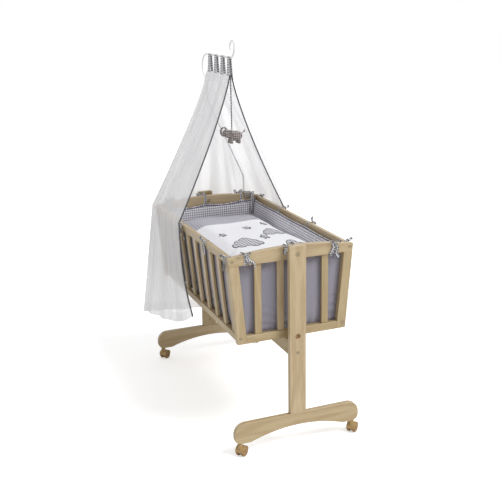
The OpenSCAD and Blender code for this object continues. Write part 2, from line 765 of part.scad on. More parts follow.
// The duvet: a filled block between the bumpers with a crowned, rounded top
duvet_n = 12;
duvet_x = end_inner_x - bumper_t - tie_gap - 1.5;
function duvet_reach(z) = inner_w(z) - (bumper_t + tie_gap) / cos(lean) - 1.5;
function duvet_round(u) = sqrt(max(0, 1 - pow(abs(u), 5)));
function duvet_top(u, v) =
    mix(duvet_head_z, duvet_foot_z, (u + 1) / 2) - duvet_edge * (1 - duvet_round(u) * duvet_round(v));
module duvet() {
    z0 = bedding_z + seat;
    grid = [for (i = [0:duvet_n]) for (j = [0:duvet_n])
        let (u = sin(-90 + 180 * i / duvet_n), v = sin(-90 + 180 * j / duvet_n))
        let (z = duvet_top(u, v))
        [u * duvet_x, v * duvet_reach(z), z]];
    floor_grid = [for (i = [0:duvet_n]) for (j = [0:duvet_n])
        let (u = sin(-90 + 180 * i / duvet_n), v = sin(-90 + 180 * j / duvet_n))
        [u * duvet_x, v * duvet_reach(z0), z0]];
    color(white_cloth) grid_shell([for (p = grid) p], floor_grid, duvet_n + 1, duvet_n + 1);
}

// ---------------------------------------------------------------- ties

// A bow against a face at X = 0: its knot at the origin, its loops along Y, its tails hanging
module bow() {
    translate([0.5, -4, -4]) cube([4, 8, 8]);
    for (s = [-1, 1]) {
        translate([1, s * 10, 4]) board_across(3) difference() {
            circle(r = 8, $fn = 24);
            circle(r = 6.4, $fn = 24);
        }
        translate([2.5, s * 6, -13]) rotate([s * 22, 0, 0]) cube([1.4, 6, 26], center = true);
    }
}

// A tie round a rail's section, w wide and h high below the origin, with its bow outside (+X), moved
// along the rail by shift
module tie(w, h, shift) {
    rotate([90, 0, 0]) linear_extrude(ribbon_w, center = true) difference() {
        translate([-w / 2 - seat - ribbon, -h - seat - ribbon])
            square([w + 2 * (seat + ribbon), h + 2 * (seat + ribbon)]);
        translate([-w / 2 - seat, -h - seat]) square([w + 2 * seat, h + 2 * seat]);
    }
    translate([w / 2 + seat + ribbon - 0.5, shift, 2]) bow();
}

// Where the ties sit: across the end rails and along the side rails, each with its bow's shift
tie_corner_y = cradle_top_w / 2 - 66;
tie_corner_x = cradle_l / 2 - 33;
head_ties = [[-tie_corner_y, 0], [-18, -8], [tie_corner_y - 28, -8]];
foot_ties = [[-tie_corner_y, 0], [-18, -8], [tie_corner_y - 15, 0]];
left_ties = [[-92, 12], [200, 0], [tie_corner_x, -12]];
right_ties = [[-tie_corner_x, 10], [-170, 16], [116, 0], [tie_corner_x, -12]];
module end_ties(end, ties) {
    for (t = ties) {
        top = arch_top(abs(t[0]) - ribbon_w / 2) + seat;
        at_end(end) translate([end_inner_x + end_t / 2, t[0], top]) tie(end_t, top - end_top_rail_z, t[1]);
    }
}
module side_ties(side, ties) {
    for (t = ties) at_side(side) translate([t[0], -side_t / 2, side_h])
        rotate([0, 0, 90]) tie(side_t, side_rail_h, -t[1]);
}
module tie_bows() {
    color(check_cloth) {
        end_ties(HEAD, head_ties);
        end_ties(FOOT, foot_ties);
        side_ties(LEFT, left_ties);
        side_ties(RIGHT, right_ties);
    }
}

// ---------------------------------------------------------------- canopy

module canopy_rod() {
    color([0.9, 0.9, 0.9]) swept_tube(smooth_route(rod_route, 3), rod_r, 10);
}

// Height of the clamp's seat on the arched rail, and of its thumb screw
clamp_z = arch_top(clamp_y - clamp_side) + seat;
screw_z = clamp_z - clamp_jaw_h - 2;

// A clamp over the head rail, with the rod's socket outside it
module rod_clamp() {
    color(white_cloth) translate([0, clamp_y - clamp_side, 0]) difference() {
        union() {
            translate([-end_face_x - seat - clamp_wall, 0, clamp_z - clamp_jaw_h - 12])
                cube([clamp_wall, clamp_w, clamp_jaw_h + 18]);
            translate([-end_face_x - seat - clamp_wall, 0, clamp_z])
                cube([end_t + 2 * seat + clamp_wall + 4, clamp_w, 6]);
            translate([-end_inner_x + seat, 0, clamp_z - clamp_jaw_h + 8])
                cube([4, clamp_w, clamp_jaw_h - 2]);
            translate([rod_x, clamp_side, rod_foot_z - 4]) cylinder(r = rod_r + 3.5, h = 46);
        }
        translate([rod_x, clamp_side, rod_foot_z - 0.1]) cylinder(r = rod_r + hole_gap, h = 60);
        translate([0, clamp_side + screw_in, screw_z])
            rod_along_x(2.5 + hole_gap, -end_face_x - 20, -end_face_x + 1);
    }
}

// Thumb screw through the clamp's outer leg against the rail
module clamp_screw() {
    color(steel) translate([0, clamp_y + screw_in, screw_z]) {
        rod_along_x(2.5, -end_face_x - seat - clamp_wall - 3, -end_face_x - 0.1);
        rod_along_x(6.5, -end_face_x - seat - clamp_wall - 7, -end_face_x - seat - clamp_wall - 1);
    }
}

// How far a height lies down the canopy: 0 at its top edge, 1 at the cradle's rail
function drop(z) = min(1, (canopy_top_z - z) / (canopy_top_z - cradle_top_z));
// How far a height lies below the rail, in mm
function under(z) = max(0, cradle_top_z - z);
function canopy_half(z, s) = s < 0 ? canopy_left * pow(drop(z), 1.2) : canopy_right * pow(drop(z), 0.9);
function canopy_back(z) = mix(canopy_back_top, canopy_back_rail, drop(z)) - 0.02 * under(z);
function canopy_bend(z) = mix(canopy_bend_top, canopy_bend_rail, drop(z)) - 0.02 * under(z);
// The front edges lean to the rail, and below it they sweep forwards to the front corners
function canopy_forward(z) =
    let (q = min(1, under(z) / (cradle_top_z - front_hem_z)))
    canopy_sweep * (0.25 * q + 0.75 * pow(q, 3));
function canopy_front(z, s) =
    mix(canopy_front_top, s < 0 ? canopy_front_left : canopy_front_right, drop(z)) + canopy_forward(z);
// How far the front edges draw in from the sides' widest line
function canopy_draw(z, s) = s < 0 ? 1 : 0.835 * pow(max(drop(z), 0.01), 0.35);
// How far the right side's cloth bulges out between the back and its front edge
function canopy_bulge(z, s) = s < 0 ? 0 : canopy_billow * sqrt(max(0, sin(180 * drop(z))));
// Height of the hem, from the back (a = 0) to a front edge (a = 1)
function canopy_hem(a) = hem_z + hem_rise * a + corner_rise * pow(a, 8);
// A point of the canopy's surface, d inside it: s runs from the left edge (-1) round the back (0) to
// the right edge (1), z is the height
function canopy_point(s, z, d) =
    let (a = abs(s), side = s < 0 ? -1 : 1, phi = 90 * min(1, a / canopy_corner))
    let (along = max(0, (a - canopy_corner) / (1 - canopy_corner)))
    let (w = canopy_half(z, side), flare = under(z) * mix(0.11, 0.02, along))
    let (wave = 0.5 + 0.5 * sin(360 * canopy_folds * s / 2 + 90))
    let (fold = fold_d * drop(z) * wave * (1 - pow(a, 8)) - d)
    let (narrow = 1 - (1 - canopy_draw(z, side)) * along * along)
    let (corner_x = canopy_back(z) + canopy_bend(z) * (1 - cos(phi)))
    let (bulge = canopy_bulge(z, side) * sin(180 * along))
    [
        mix(corner_x, canopy_front(z, side), along) - fold * cos(phi),
        side * sin(phi) * (canopy_slot + canopy_t + w * narrow + bulge + flare + fold),
        z
    ];
module canopy() {
    cols = 2 * canopy_steps + 1;
    sheet = function (d) [for (i = [0:canopy_rows]) for (j = [0:cols - 1])
        let (s = j / canopy_steps - 1)
        let (z = i <= canopy_rail_row ? mix(canopy_top_z, cradle_top_z, i / canopy_rail_row)
            : mix(cradle_top_z, canopy_hem(abs(s)), (i - canopy_rail_row) / (canopy_rows - canopy_rail_row)))
        canopy_point(s, z, d)];
    color([1, 1, 1, 0.6]) difference() {
        grid_shell(sheet(0), sheet(canopy_t), canopy_rows + 1, cols);
        translate([rod_notch_x, -rod_r - 2 * seat, rod_notch_z])
            cube([rod_notch_l, 2 * rod_r + 4 * seat, canopy_top_z - rod_notch_z + 10]);
    }
}

// Four loops of ribbon that hang the canopy on the rod's arm
module canopy_tabs() {
    color(check_cloth) for (i = [-1.5:1:1.5])
        translate([tab_mid_x + i * tab_pitch - tab_w / 2, 0, 0]) board_across(tab_w) difference() {
            union() {
                translate([0, arm_z]) circle(r = rod_r + seat + tab_t);
                translate([-rod_r - seat - tab_t, canopy_top_z])
                    square([2 * (rod_r + seat + tab_t), arm_z - canopy_top_z]);
            }
            translate([0, arm_z]) circle(r = rod_r + seat);
            translate([-rod_r - seat, canopy_top_z - 1])
                square([2 * (rod_r + seat), arm_z - canopy_top_z + 1]);
        }
}

// ---------------------------------------------------------------- toy

module toy_cord() {
    color(grey_cloth) swept_tube(cord_route, cord_r, 8);
}

// A plump body along Y through oval rings, each [y, height of its middle, half width, half height]
toy_rings = [
    [-43, 9, 4, 4], [-40, 9, 9, 10], [-33, 9, 14, 15], [-24, 7, 15, 16], [-17, 4, 15, 16],
    [-8, 1, 19, 20], [6, 0, 22, 23], [20, 0, 21, 22], [32, 0, 16, 18], [39, 0, 9, 10], [42, 0, 3, 4]
];
module ringed_body(rings, sides) {
    last = len(rings) - 1;
    points = [for (r = rings) for (k = [0:sides - 1])
        [r[2] * sin(360 * k / sides), r[0], r[1] + r[3] * cos(360 * k / sides)]];
    walls = [for (i = [0:last - 1]) for (k = [0:sides - 1])
        let (a = i * sides + k, b = i * sides + (k + 1) % sides)
        each [[a, b + sides, b], [a, a + sides, b + sides]]];
    polyhedron(points, concat(walls,
        [[for (k = [0:sides - 1]) k]],
        [[for (k = [sides - 1:-1:0]) last * sides + k]]));
}

// A small plush elephant, side on to the front opening, hung from a button on its back
module toy() {
    color([0.45, 0.40, 0.44]) translate([toy_x, toy_y, toy_z]) {
        translate([0, -toy_y, 0]) cylinder(r = 3.5, h = toy_top, $fn = 12);
        ringed_body(toy_rings, 16);
        for (x = [-10, 10], y = [-9, 23]) translate([x, y, -32]) cylinder(r = 7.5, h = 26, $fn = 12);
        translate([0, -41, -19]) rotate([-4, 0, 0]) cylinder(r1 = 4, r2 = 6, h = 28, $fn = 12);
        for (m = [-1, 1]) translate([m * 15, -20, 8]) rotate([0, 90, m * 20])
            cylinder(r = 13, h = 4, center = true, $fn = 12);
    }
}

// ---------------------------------------------------------------- casters

// Places a piece drawn for a caster at the origin, its axle along X at rest angle 0
module at_caster(end, side) {
    translate([end * post_mid_x, side * caster_y, 0]) rotate([0, 0, caster_turn]) children();
}

module caster_sockets() {
    color(brown) for (end = [HEAD, FOOT], side = [LEFT, RIGHT])
        translate([end * post_mid_x, side * caster_y, 0]) difference() {
            union() {
                translate([0, 0, base_pad_z - socket_flange]) cylinder(r = socket_flange_r, h = socket_flange);
                translate([0, 0, base_pad_z - 1]) cylinder(r = socket_r, h = socket_l);
            }
            translate([0, 0, base_pad_z - 3]) cylinder(r = stem_r + run_gap, h = socket_l + 1);
        }
}

module caster_stems() {
    color(steel) for (end = [HEAD, FOOT], side = [LEFT, RIGHT])
        translate([end * post_mid_x, side * caster_y, stem_low_z])
            cylinder(r = stem_r, h = base_pad_z + socket_l - 5 - stem_low_z);
}

// Web, hood and neck of a twin-wheel caster, with its axle along X behind the swivel axis
module caster_housing(end, side) {
    color(brown) at_caster(end, side) difference() {
        union() {
            intersection() {
                translate([0, trail, axle_z]) rod_along_x(hood_r, -hood_w / 2, hood_w / 2);
                translate([-hood_w, -hood_r * 2, axle_z + 1]) cube([2 * hood_w, hood_r * 4, hood_r]);
            }
            translate([0, trail, axle_z]) rod_along_x(wheel_r - 4, -web_w / 2, web_w / 2);
            translate([0, 0, axle_z + 12]) cylinder(r = neck_r, h = neck_top_z - axle_z - 12);
        }
        translate([0, trail, axle_z]) {
            for (m = [0, 1]) mirror([m, 0, 0]) rod_along_x(well_r, web_w / 2, hood_w);
            rod_along_x(axle_r + run_gap, -hood_w, hood_w);
        }
        translate([0, 0, stem_low_z - 0.5]) cylinder(r = stem_r + run_gap, h = 40);
    }
}

module caster_wheels(end, side) {
    color(brown) at_caster(end, side) translate([0, trail, axle_z]) for (m = [0, 1]) mirror([m, 0, 0])
        translate([web_w / 2 + wheel_gap, 0, 0]) rotate([0, 90, 0]) rotate_extrude() difference() {
            polygon([
                [axle_r + run_gap, 0], [wheel_r - 1, 0], [wheel_r, 1], [wheel_r, wheel_w - 3],
                [wheel_r - 3, wheel_w], [wheel_r - 6, wheel_w], [wheel_r - 8, wheel_w - 1.5],
                [6, wheel_w - 1.5], [5, wheel_w], [0, wheel_w], [0, wheel_w - 2], [axle_r + run_gap, wheel_w - 2]
            ]);
        }
}

module caster_axle(end, side) {
    color(steel) at_caster(end, side) translate([0, trail, axle_z])
        rod_along_x(axle_r, -axle_l / 2, axle_l / 2);
}

// ---------------------------------------------------------------- drawing

base_rail(HEAD);  // head_base_rail
base_rail(FOOT);  // foot_base_rail
post(HEAD);  // head_post
post(FOOT);  // foot_post
cross_beam();
frame_bolts();
frame_barrel_nuts();
frame_dowels();
pivot_bolts();
pivot_spacers();
pivot_nuts();
lock_bolts();
caster_sockets();
caster_stems();
pivot_bushes();
end_top_rail(HEAD);  // head_top_rail
end_bottom_rail(HEAD);  // head_bottom_rail
end_stiles(HEAD);  // head_stiles
end_slats(HEAD);  // head_slats
end_top_rail(FOOT);  // foot_top_rail
end_bottom_rail(FOOT);  // foot_bottom_rail
end_stiles(FOOT);  // foot_stiles
end_slats(FOOT);  // foot_slats
side_rail(LEFT, side_h - side_rail_h, -1);  // left_top_rail
side_rail(LEFT, 0, 1);  // left_bottom_rail
side_slats_of(LEFT);  // left_slats
side_rail(RIGHT, side_h - side_rail_h, -1);  // right_top_rail
side_rail(RIGHT, 0, 1);  // right_bottom_rail
side_slats_of(RIGHT);  // right_slats
panel_bolts();
panel_barrel_nuts();
panel_dowels();
base_battens();
base_slats();
mattress();
end_bumper(HEAD, head_bumper_top_z);  // head_bumper
end_bumper(FOOT, foot_bumper_top_z);  // foot_bumper
side_bumper(LEFT);  // left_bumper
side_bumper(RIGHT);  // right_bumper
duvet();
tie_bows();
canopy_rod();
rod_clamp();
clamp_screw();
canopy();
canopy_tabs();
toy_cord();
toy();
caster_housing(HEAD, LEFT);  // head_left_caster_housing
caster_wheels(HEAD, LEFT);  // head_left_caster_wheels
caster_axle(HEAD, LEFT);  // head_left_caster_axle
caster_housing(HEAD, RIGHT);  // head_right_caster_housing
caster_wheels(HEAD, RIGHT);  // head_right_caster_wheels
caster_axle(HEAD, RIGHT);  // head_right_caster_axle
caster_housing(FOOT, LEFT);  // foot_left_caster_housing
caster_wheels(FOOT, LEFT);  // foot_left_caster_wheels
caster_axle(FOOT, LEFT);  // foot_left_caster_axle
caster_housing(FOOT, RIGHT);  // foot_right_caster_housing
caster_wheels(FOOT, RIGHT);  // foot_right_caster_wheels
caster_axle(FOOT, RIGHT);  // foot_right_caster_axle
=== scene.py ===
"""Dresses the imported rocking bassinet: boards, hardware, bedding, canopy, ribbons, toy and studio.

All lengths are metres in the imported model's own frame: X runs along the cradle with the foot end
at +X, Y runs across it and Z is up from the floor.
"""

from __future__ import annotations

import json
import logging
import math
from dataclasses import dataclass, field
from enum import Enum
from typing import Sequence

import bmesh
import bpy
import numpy as np
from mathutils import Matrix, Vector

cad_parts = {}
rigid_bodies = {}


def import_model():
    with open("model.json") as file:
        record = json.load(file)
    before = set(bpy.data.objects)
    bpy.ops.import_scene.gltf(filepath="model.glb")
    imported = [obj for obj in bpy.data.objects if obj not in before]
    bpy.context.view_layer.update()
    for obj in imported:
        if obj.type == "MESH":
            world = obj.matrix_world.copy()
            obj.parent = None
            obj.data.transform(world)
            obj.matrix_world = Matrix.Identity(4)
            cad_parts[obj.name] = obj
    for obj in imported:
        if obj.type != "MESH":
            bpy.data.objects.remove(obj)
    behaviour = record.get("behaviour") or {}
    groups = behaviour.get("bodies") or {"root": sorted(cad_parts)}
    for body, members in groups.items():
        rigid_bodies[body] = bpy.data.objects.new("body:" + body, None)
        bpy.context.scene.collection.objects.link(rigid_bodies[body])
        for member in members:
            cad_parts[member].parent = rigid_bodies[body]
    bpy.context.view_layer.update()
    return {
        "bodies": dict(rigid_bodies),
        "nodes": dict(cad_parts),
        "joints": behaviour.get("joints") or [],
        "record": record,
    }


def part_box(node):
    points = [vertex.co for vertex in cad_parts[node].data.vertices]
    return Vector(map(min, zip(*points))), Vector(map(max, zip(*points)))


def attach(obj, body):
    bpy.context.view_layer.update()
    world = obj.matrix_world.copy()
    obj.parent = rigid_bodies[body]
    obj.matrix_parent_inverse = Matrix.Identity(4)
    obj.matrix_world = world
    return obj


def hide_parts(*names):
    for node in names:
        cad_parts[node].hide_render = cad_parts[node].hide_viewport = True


Array = np.ndarray
Colour = tuple[float, float, float]
LOG = logging.getLogger("bassinet")
X_WAY, Y_WAY, Z_WAY = np.eye(3)
CREASE = math.radians(32)


@dataclass(frozen=True)
class CradleSizes:
    """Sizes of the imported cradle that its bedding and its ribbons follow."""

    bottom_z: float = 0.436
    top_z: float = 0.770
    height: float = 0.334
    bottom_half: float = 0.222
    top_half: float = 0.252
    widening: float = 0.030
    arch: float = 0.022
    end_t: float = 0.022
    end_mid_x: float = 0.459
    end_rail_low_z: float = 0.739
    side_t: float = 0.018
    side_rail_h: float = 0.028
    side_low: float = 0.006
    side_in: float = 0.004

    @property
    def lean(self) -> float:
        """The angle that the side panels lean out by."""
        return math.atan(self.widening / self.height)

    def half_width(self, z: Array) -> Array:
        """Half the cradle's outer width at a height."""
        return self.bottom_half + self.widening * (z - self.bottom_z) / self.height


CRADLE = CradleSizes()


# ------------------------------------------------------------------ small formulas


def turns(count: int) -> Array:
    """That many angles round a circle, the first one not repeated."""
    return np.linspace(0, 2 * np.pi, count, endpoint=False)


def boxed(value: Array, power: float) -> Array:
    """A sine or cosine that draws a circle at power 2, and nearly a box at higher powers."""
    return np.sign(value) * np.abs(value) ** (2 / power)


def wave(angle: Array) -> Array:
    """A sine lifted to run from 0 to 1."""
    return 0.5 + 0.5 * np.sin(angle)


def bell(off: Array, width: float) -> Array:
    """1 where off is 0, dying away on both sides over the width."""
    return np.exp(-((off / width) ** 2))


def together(*values: object) -> Array:
    """Coordinates brought together on a last axis; a plain number serves for every point."""
    return np.stack(np.broadcast_arrays(*values), -1)


def unit(vectors: Array) -> Array:
    """Vectors scaled to length one."""
    return vectors / np.maximum(np.linalg.norm(vectors, axis=-1, keepdims=True), 1e-12)


def lengths_along(path: Array) -> Array:
    """Distance of each point of a path from its start, along the path."""
    return np.concatenate([[0.0], np.cumsum(np.linalg.norm(np.diff(path, axis=0), axis=1))])


# ------------------------------------------------------------------ surfaces


@dataclass
class Surface:
    """Points and faces that are joined with others before they become a mesh.

    Each face array holds point numbers, one row a face, and has a matching array of cloth
    coordinates in metres, one pair a corner, and one material index.
    """

    points: Array
    faces: list[Array] = field(default_factory=list)
    corners: list[Array] = field(default_factory=list)
    slots: list[int] = field(default_factory=list)

    @staticmethod
    def joined(parts: Sequence["Surface"]) -> "Surface":
        """One surface that holds all the parts, each part's numbers moved past those before it."""
        starts = np.cumsum([0, *[len(p.points) for p in parts]])
        return Surface(
            np.concatenate([p.points for p in parts]),
            [f + s for p, s in zip(parts, starts) for f in p.faces],
            [c for p in parts for c in p.corners],
            [m for p in parts for m in p.slots],
        )

    def flipped(self) -> "Surface":
        """The same surface with its faces turned over."""
        faces = [f[:, ::-1] for f in self.faces]
        return Surface(self.points, faces, [c[:, ::-1] for c in self.corners], list(self.slots))

    def moved(self, origin: Array, axes: Array) -> "Surface":
        """The same surface with its points taken into a frame given by its origin and three axes."""
        turned = self.points @ np.asarray(axes) + np.asarray(origin)
        placed = Surface(turned, self.faces, self.corners, list(self.slots))
        return placed.flipped() if np.linalg.det(np.asarray(axes)) < 0 else placed

    def made(self, name: str, *finishes: bpy.types.Material) -> bpy.types.Object:
        """The surface as a smooth mesh object at the origin.

        Args:
            name: The piece's name.
            finishes: The materials that the parts' slots count from.

        Returns:
            The new object, linked to the scene.
        """
        mesh = bpy.data.meshes.new(name)
        mesh.from_pydata(self.points.tolist(), [], [row for f in self.faces for row in f.tolist()])
        flat = np.concatenate([c.reshape(-1, 2) for c in self.corners])
        mesh.uv_layers.new(name="UVMap").data.foreach_set("uv", flat.astype(np.float32).ravel())
        index = np.repeat(self.slots, [len(f) for f in self.faces]).astype(np.int32)
        mesh.polygons.foreach_set("material_index", index)
        mesh.polygons.foreach_set("use_smooth", np.ones(len(index), bool))
        for finish in finishes:
            mesh.materials.append(finish)
        mesh.update()
        return linked(name, mesh)


def linked(name: str, data: bpy.types.ID) -> bpy.types.Object:
    """A new object of that mesh, lamp or camera in the scene."""
    made = bpy.data.objects.new(name, data)
    bpy.context.scene.collection.objects.link(made)
    return made


def grid(points: Array, u: Array | None = None, v: Array | None = None, wrap: bool = False,
         loop: bool = False, capped: bool = False, slot: int = 0) -> Surface:
    """Quads between the neighbours of a grid of points.

    Args:
        points: Points by row and column, (rows, columns, 3).
        u: Cloth coordinate of each column, with one more entry where the columns wrap.
        v: Cloth coordinate of each row, with one more entry where the rows loop, or of each point.
        wrap: Whether the last column joins the first one.
        loop: Whether the last row joins the first one.
        capped: Whether flat faces close the first and the last row.
        slot: Material index of the faces.

    Returns:
        The surface. Its faces point to the side of columns crossed with rows.
    """
    rows, cols = points.shape[:2]
    u = np.zeros(cols + wrap) if u is None else np.asarray(u, float)
    v = np.zeros(rows + loop) if v is None else np.asarray(v, float)
    v = v if v.ndim == 2 else np.repeat(v[:, None], len(u), axis=1)
    i, j = np.meshgrid(np.arange(rows - (not loop)), np.arange(cols - (not wrap)), indexing="ij")
    steps = ((0, 0), (0, 1), (1, 1), (1, 0))
    faces = np.stack([(i + a) % rows * cols + (j + b) % cols for a, b in steps], -1)
    flat = np.stack([np.stack([u[j + b], v[i + a, j + b]], -1) for a, b in steps], 2)
    made = Surface(points.reshape(-1, 3), [faces.reshape(-1, 4)], [flat.reshape(-1, 4, 2)], [slot])
    if capped:
        first = np.arange(cols)[::-1][None]
        for ends in (first, first[:, ::-1] + (rows - 1) * cols):
            made.faces.append(ends)
            made.corners.append(np.zeros((1, cols, 2)))
            made.slots.append(slot)
    return made


def sweep(path: Array, section: Array, across: Array = X_WAY, widen: Array | None = None,
          closed: bool = False) -> Surface:
    """A closed section carried along a path, square to it.

    A ring's point is the path's point plus the section's first coordinate times a direction across
    the path and its second one times the direction square to both.

    Args:
        path: Points of the path, (n, 3).
        section: Outline of the section, counterclockwise, (m, 2).
        across: The wished direction of the first coordinate, (3,) or (n, 3).
        widen: Factors on the two coordinates along the path, (n, 2).
        closed: Whether the path ends where it starts, without repeating that point.

    Returns:
        The swept surface, capped where the path is open.
    """
    ahead = np.roll(path, -1, 0) - np.roll(path, 1, 0) if closed else np.gradient(path, axis=0)
    tangent = unit(ahead)
    side = np.broadcast_to(np.asarray(across, float), path.shape)
    side = unit(side - (side * tangent).sum(1, keepdims=True) * tangent)
    rise = np.cross(tangent, side)
    scale = np.ones((len(path), 2)) if widen is None else widen
    a = section[None, :, 0] * scale[:, 0:1]
    b = section[None, :, 1] * scale[:, 1:2]
    points = path[:, None] + a[..., None] * side[:, None] + b[..., None] * rise[:, None]
    girth = lengths_along(np.vstack([section, section[:1]]))
    run = lengths_along(np.vstack([path, path[:1]]) if closed else path)
    return grid(points, girth, run, wrap=True, loop=closed, capped=not closed)


def oval(width: float, height: float, sides: int, power: float = 2.0) -> Array:
    """A section that is round (power 2) or nearer to a box (higher powers), counterclockwise."""
    turn = turns(sides)
    return together(width / 2 * boxed(np.cos(turn), power), height / 2 * boxed(np.sin(turn), power))


def smooth_route(points: Array, steps: int) -> Array:
    """A smooth curve through given points, with that many steps to a span (Catmull-Rom)."""
    p = np.vstack([points[:1], points, points[-1:]])
    t = np.linspace(0, 1, steps, endpoint=False)[None, :, None]
    a, b, c, d = (p[k: len(p) - 3 + k][:, None] for k in range(4))
    square, cube = (2 * a - 5 * b + 4 * c - d) * t**2, (3 * b - a - 3 * c + d) * t**3
    spans = 0.5 * (2 * b + (c - a) * t + square + cube)
    return np.vstack([spans.reshape(-1, 3), points[-1:]])


def ball(centre: Sequence[float], radii: Sequence[float], rings: int = 18, sides: int = 28,
         slot: int = 0) -> Surface:
    """A closed egg shape: each ring's radius is the sine, and its height the cosine, of its angle."""
    tilt, turn = np.linspace(np.pi - 0.05, 0.05, rings)[:, None], turns(sides)[None]
    shape = together(np.sin(tilt) * np.cos(turn), np.sin(tilt) * np.sin(turn), np.cos(tilt))
    points = np.asarray(centre) + shape * np.asarray(radii)
    around = np.linspace(0, 2 * np.pi * radii[0], sides + 1)
    down = np.linspace(0, np.pi * radii[2], rings)
    return grid(points, around, down, wrap=True, capped=True, slot=slot)


# ------------------------------------------------------------------ meshes


def baked(thing: bpy.types.Object) -> None:
    """Puts what the modifiers make of an object into its mesh, and drops the modifiers."""
    depsgraph = bpy.context.evaluated_depsgraph_get()
    depsgraph.update()
    mesh = bpy.data.meshes.new_from_object(thing.evaluated_get(depsgraph))
    old, thing.data = thing.data, mesh
    mesh.name = thing.name
    thing.modifiers.clear()
    bpy.data.meshes.remove(old)


def coordinates(mesh: bpy.types.Mesh) -> Array:
    """The mesh's points, (n, 3)."""
    flat = np.empty(len(mesh.vertices) * 3, np.float32)
    mesh.vertices.foreach_get("co", flat)
    return flat.reshape(-1, 3).astype(float)


def set_coordinates(mesh: bpy.types.Mesh, points: Array) -> None:
    """Puts points back into the mesh."""
    mesh.vertices.foreach_set("co", points.astype(np.float32).ravel())
    mesh.update()


def normals(mesh: bpy.types.Mesh) -> Array:
    """The mesh's normals at its points, (n, 3)."""
    flat = np.empty(len(mesh.vertices) * 3, np.float32)
    mesh.vertex_normals.foreach_get("vector", flat)
    return flat.reshape(-1, 3).astype(float)


def set_numbers(mesh: bpy.types.Mesh, name: str, values: Array) -> None:
    """Gives each point of a mesh a number that its finish reads by name."""
    layer = mesh.attributes.new(name, "FLOAT", "POINT")
    layer.data.foreach_set("value", values.astype(np.float32))


def flat_coordinates(mesh: bpy.types.Mesh, across: Sequence[float], along: Sequence[float]) -> None:
    """Gives a mesh cloth coordinates in metres: its points' distances along two directions."""
    points = coordinates(mesh)
    pair = together(points @ np.asarray(across), points @ np.asarray(along))
    corner = np.empty(len(mesh.loops), np.int32)
    mesh.loops.foreach_get("vertex_index", corner)
    layer = mesh.uv_layers.get("UVMap") or mesh.uv_layers.new(name="UVMap")
    layer.data.foreach_set("uv", pair[corner].astype(np.float32).ravel())


def welded(thing: bpy.types.Object) -> None:
    """Merges a mesh's doubled points and turns its faces outwards."""
    shape = bmesh.new()
    shape.from_mesh(thing.data)
    bmesh.ops.remove_doubles(shape, verts=shape.verts[:], dist=1e-5)
    bmesh.ops.recalc_face_normals(shape, faces=shape.faces[:])
    shape.to_mesh(thing.data)
    shape.free()


def fused(thing: bpy.types.Object, cell: float) -> None:
    """Adds a modifier that turns a closed mesh into one skin of even cells."""
    remesh = thing.modifiers.new("cells", "REMESH")
    remesh.mode, remesh.voxel_size, remesh.use_smooth_shade = "VOXEL", cell, True


def rounded(thing: bpy.types.Object) -> None:
    """Adds one level of smooth subdivision."""
    smooth = thing.modifiers.new("smooth", "SUBSURF")
    smooth.levels = smooth.render_levels = 1


def declared(piece: bpy.types.Object, body: str, node: str = "") -> None:
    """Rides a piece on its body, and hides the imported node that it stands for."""
    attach(piece, body)
    if node:
        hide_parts(node)
    LOG.info("%s rides on %s", piece.name, body)


# ------------------------------------------------------------------ finishes


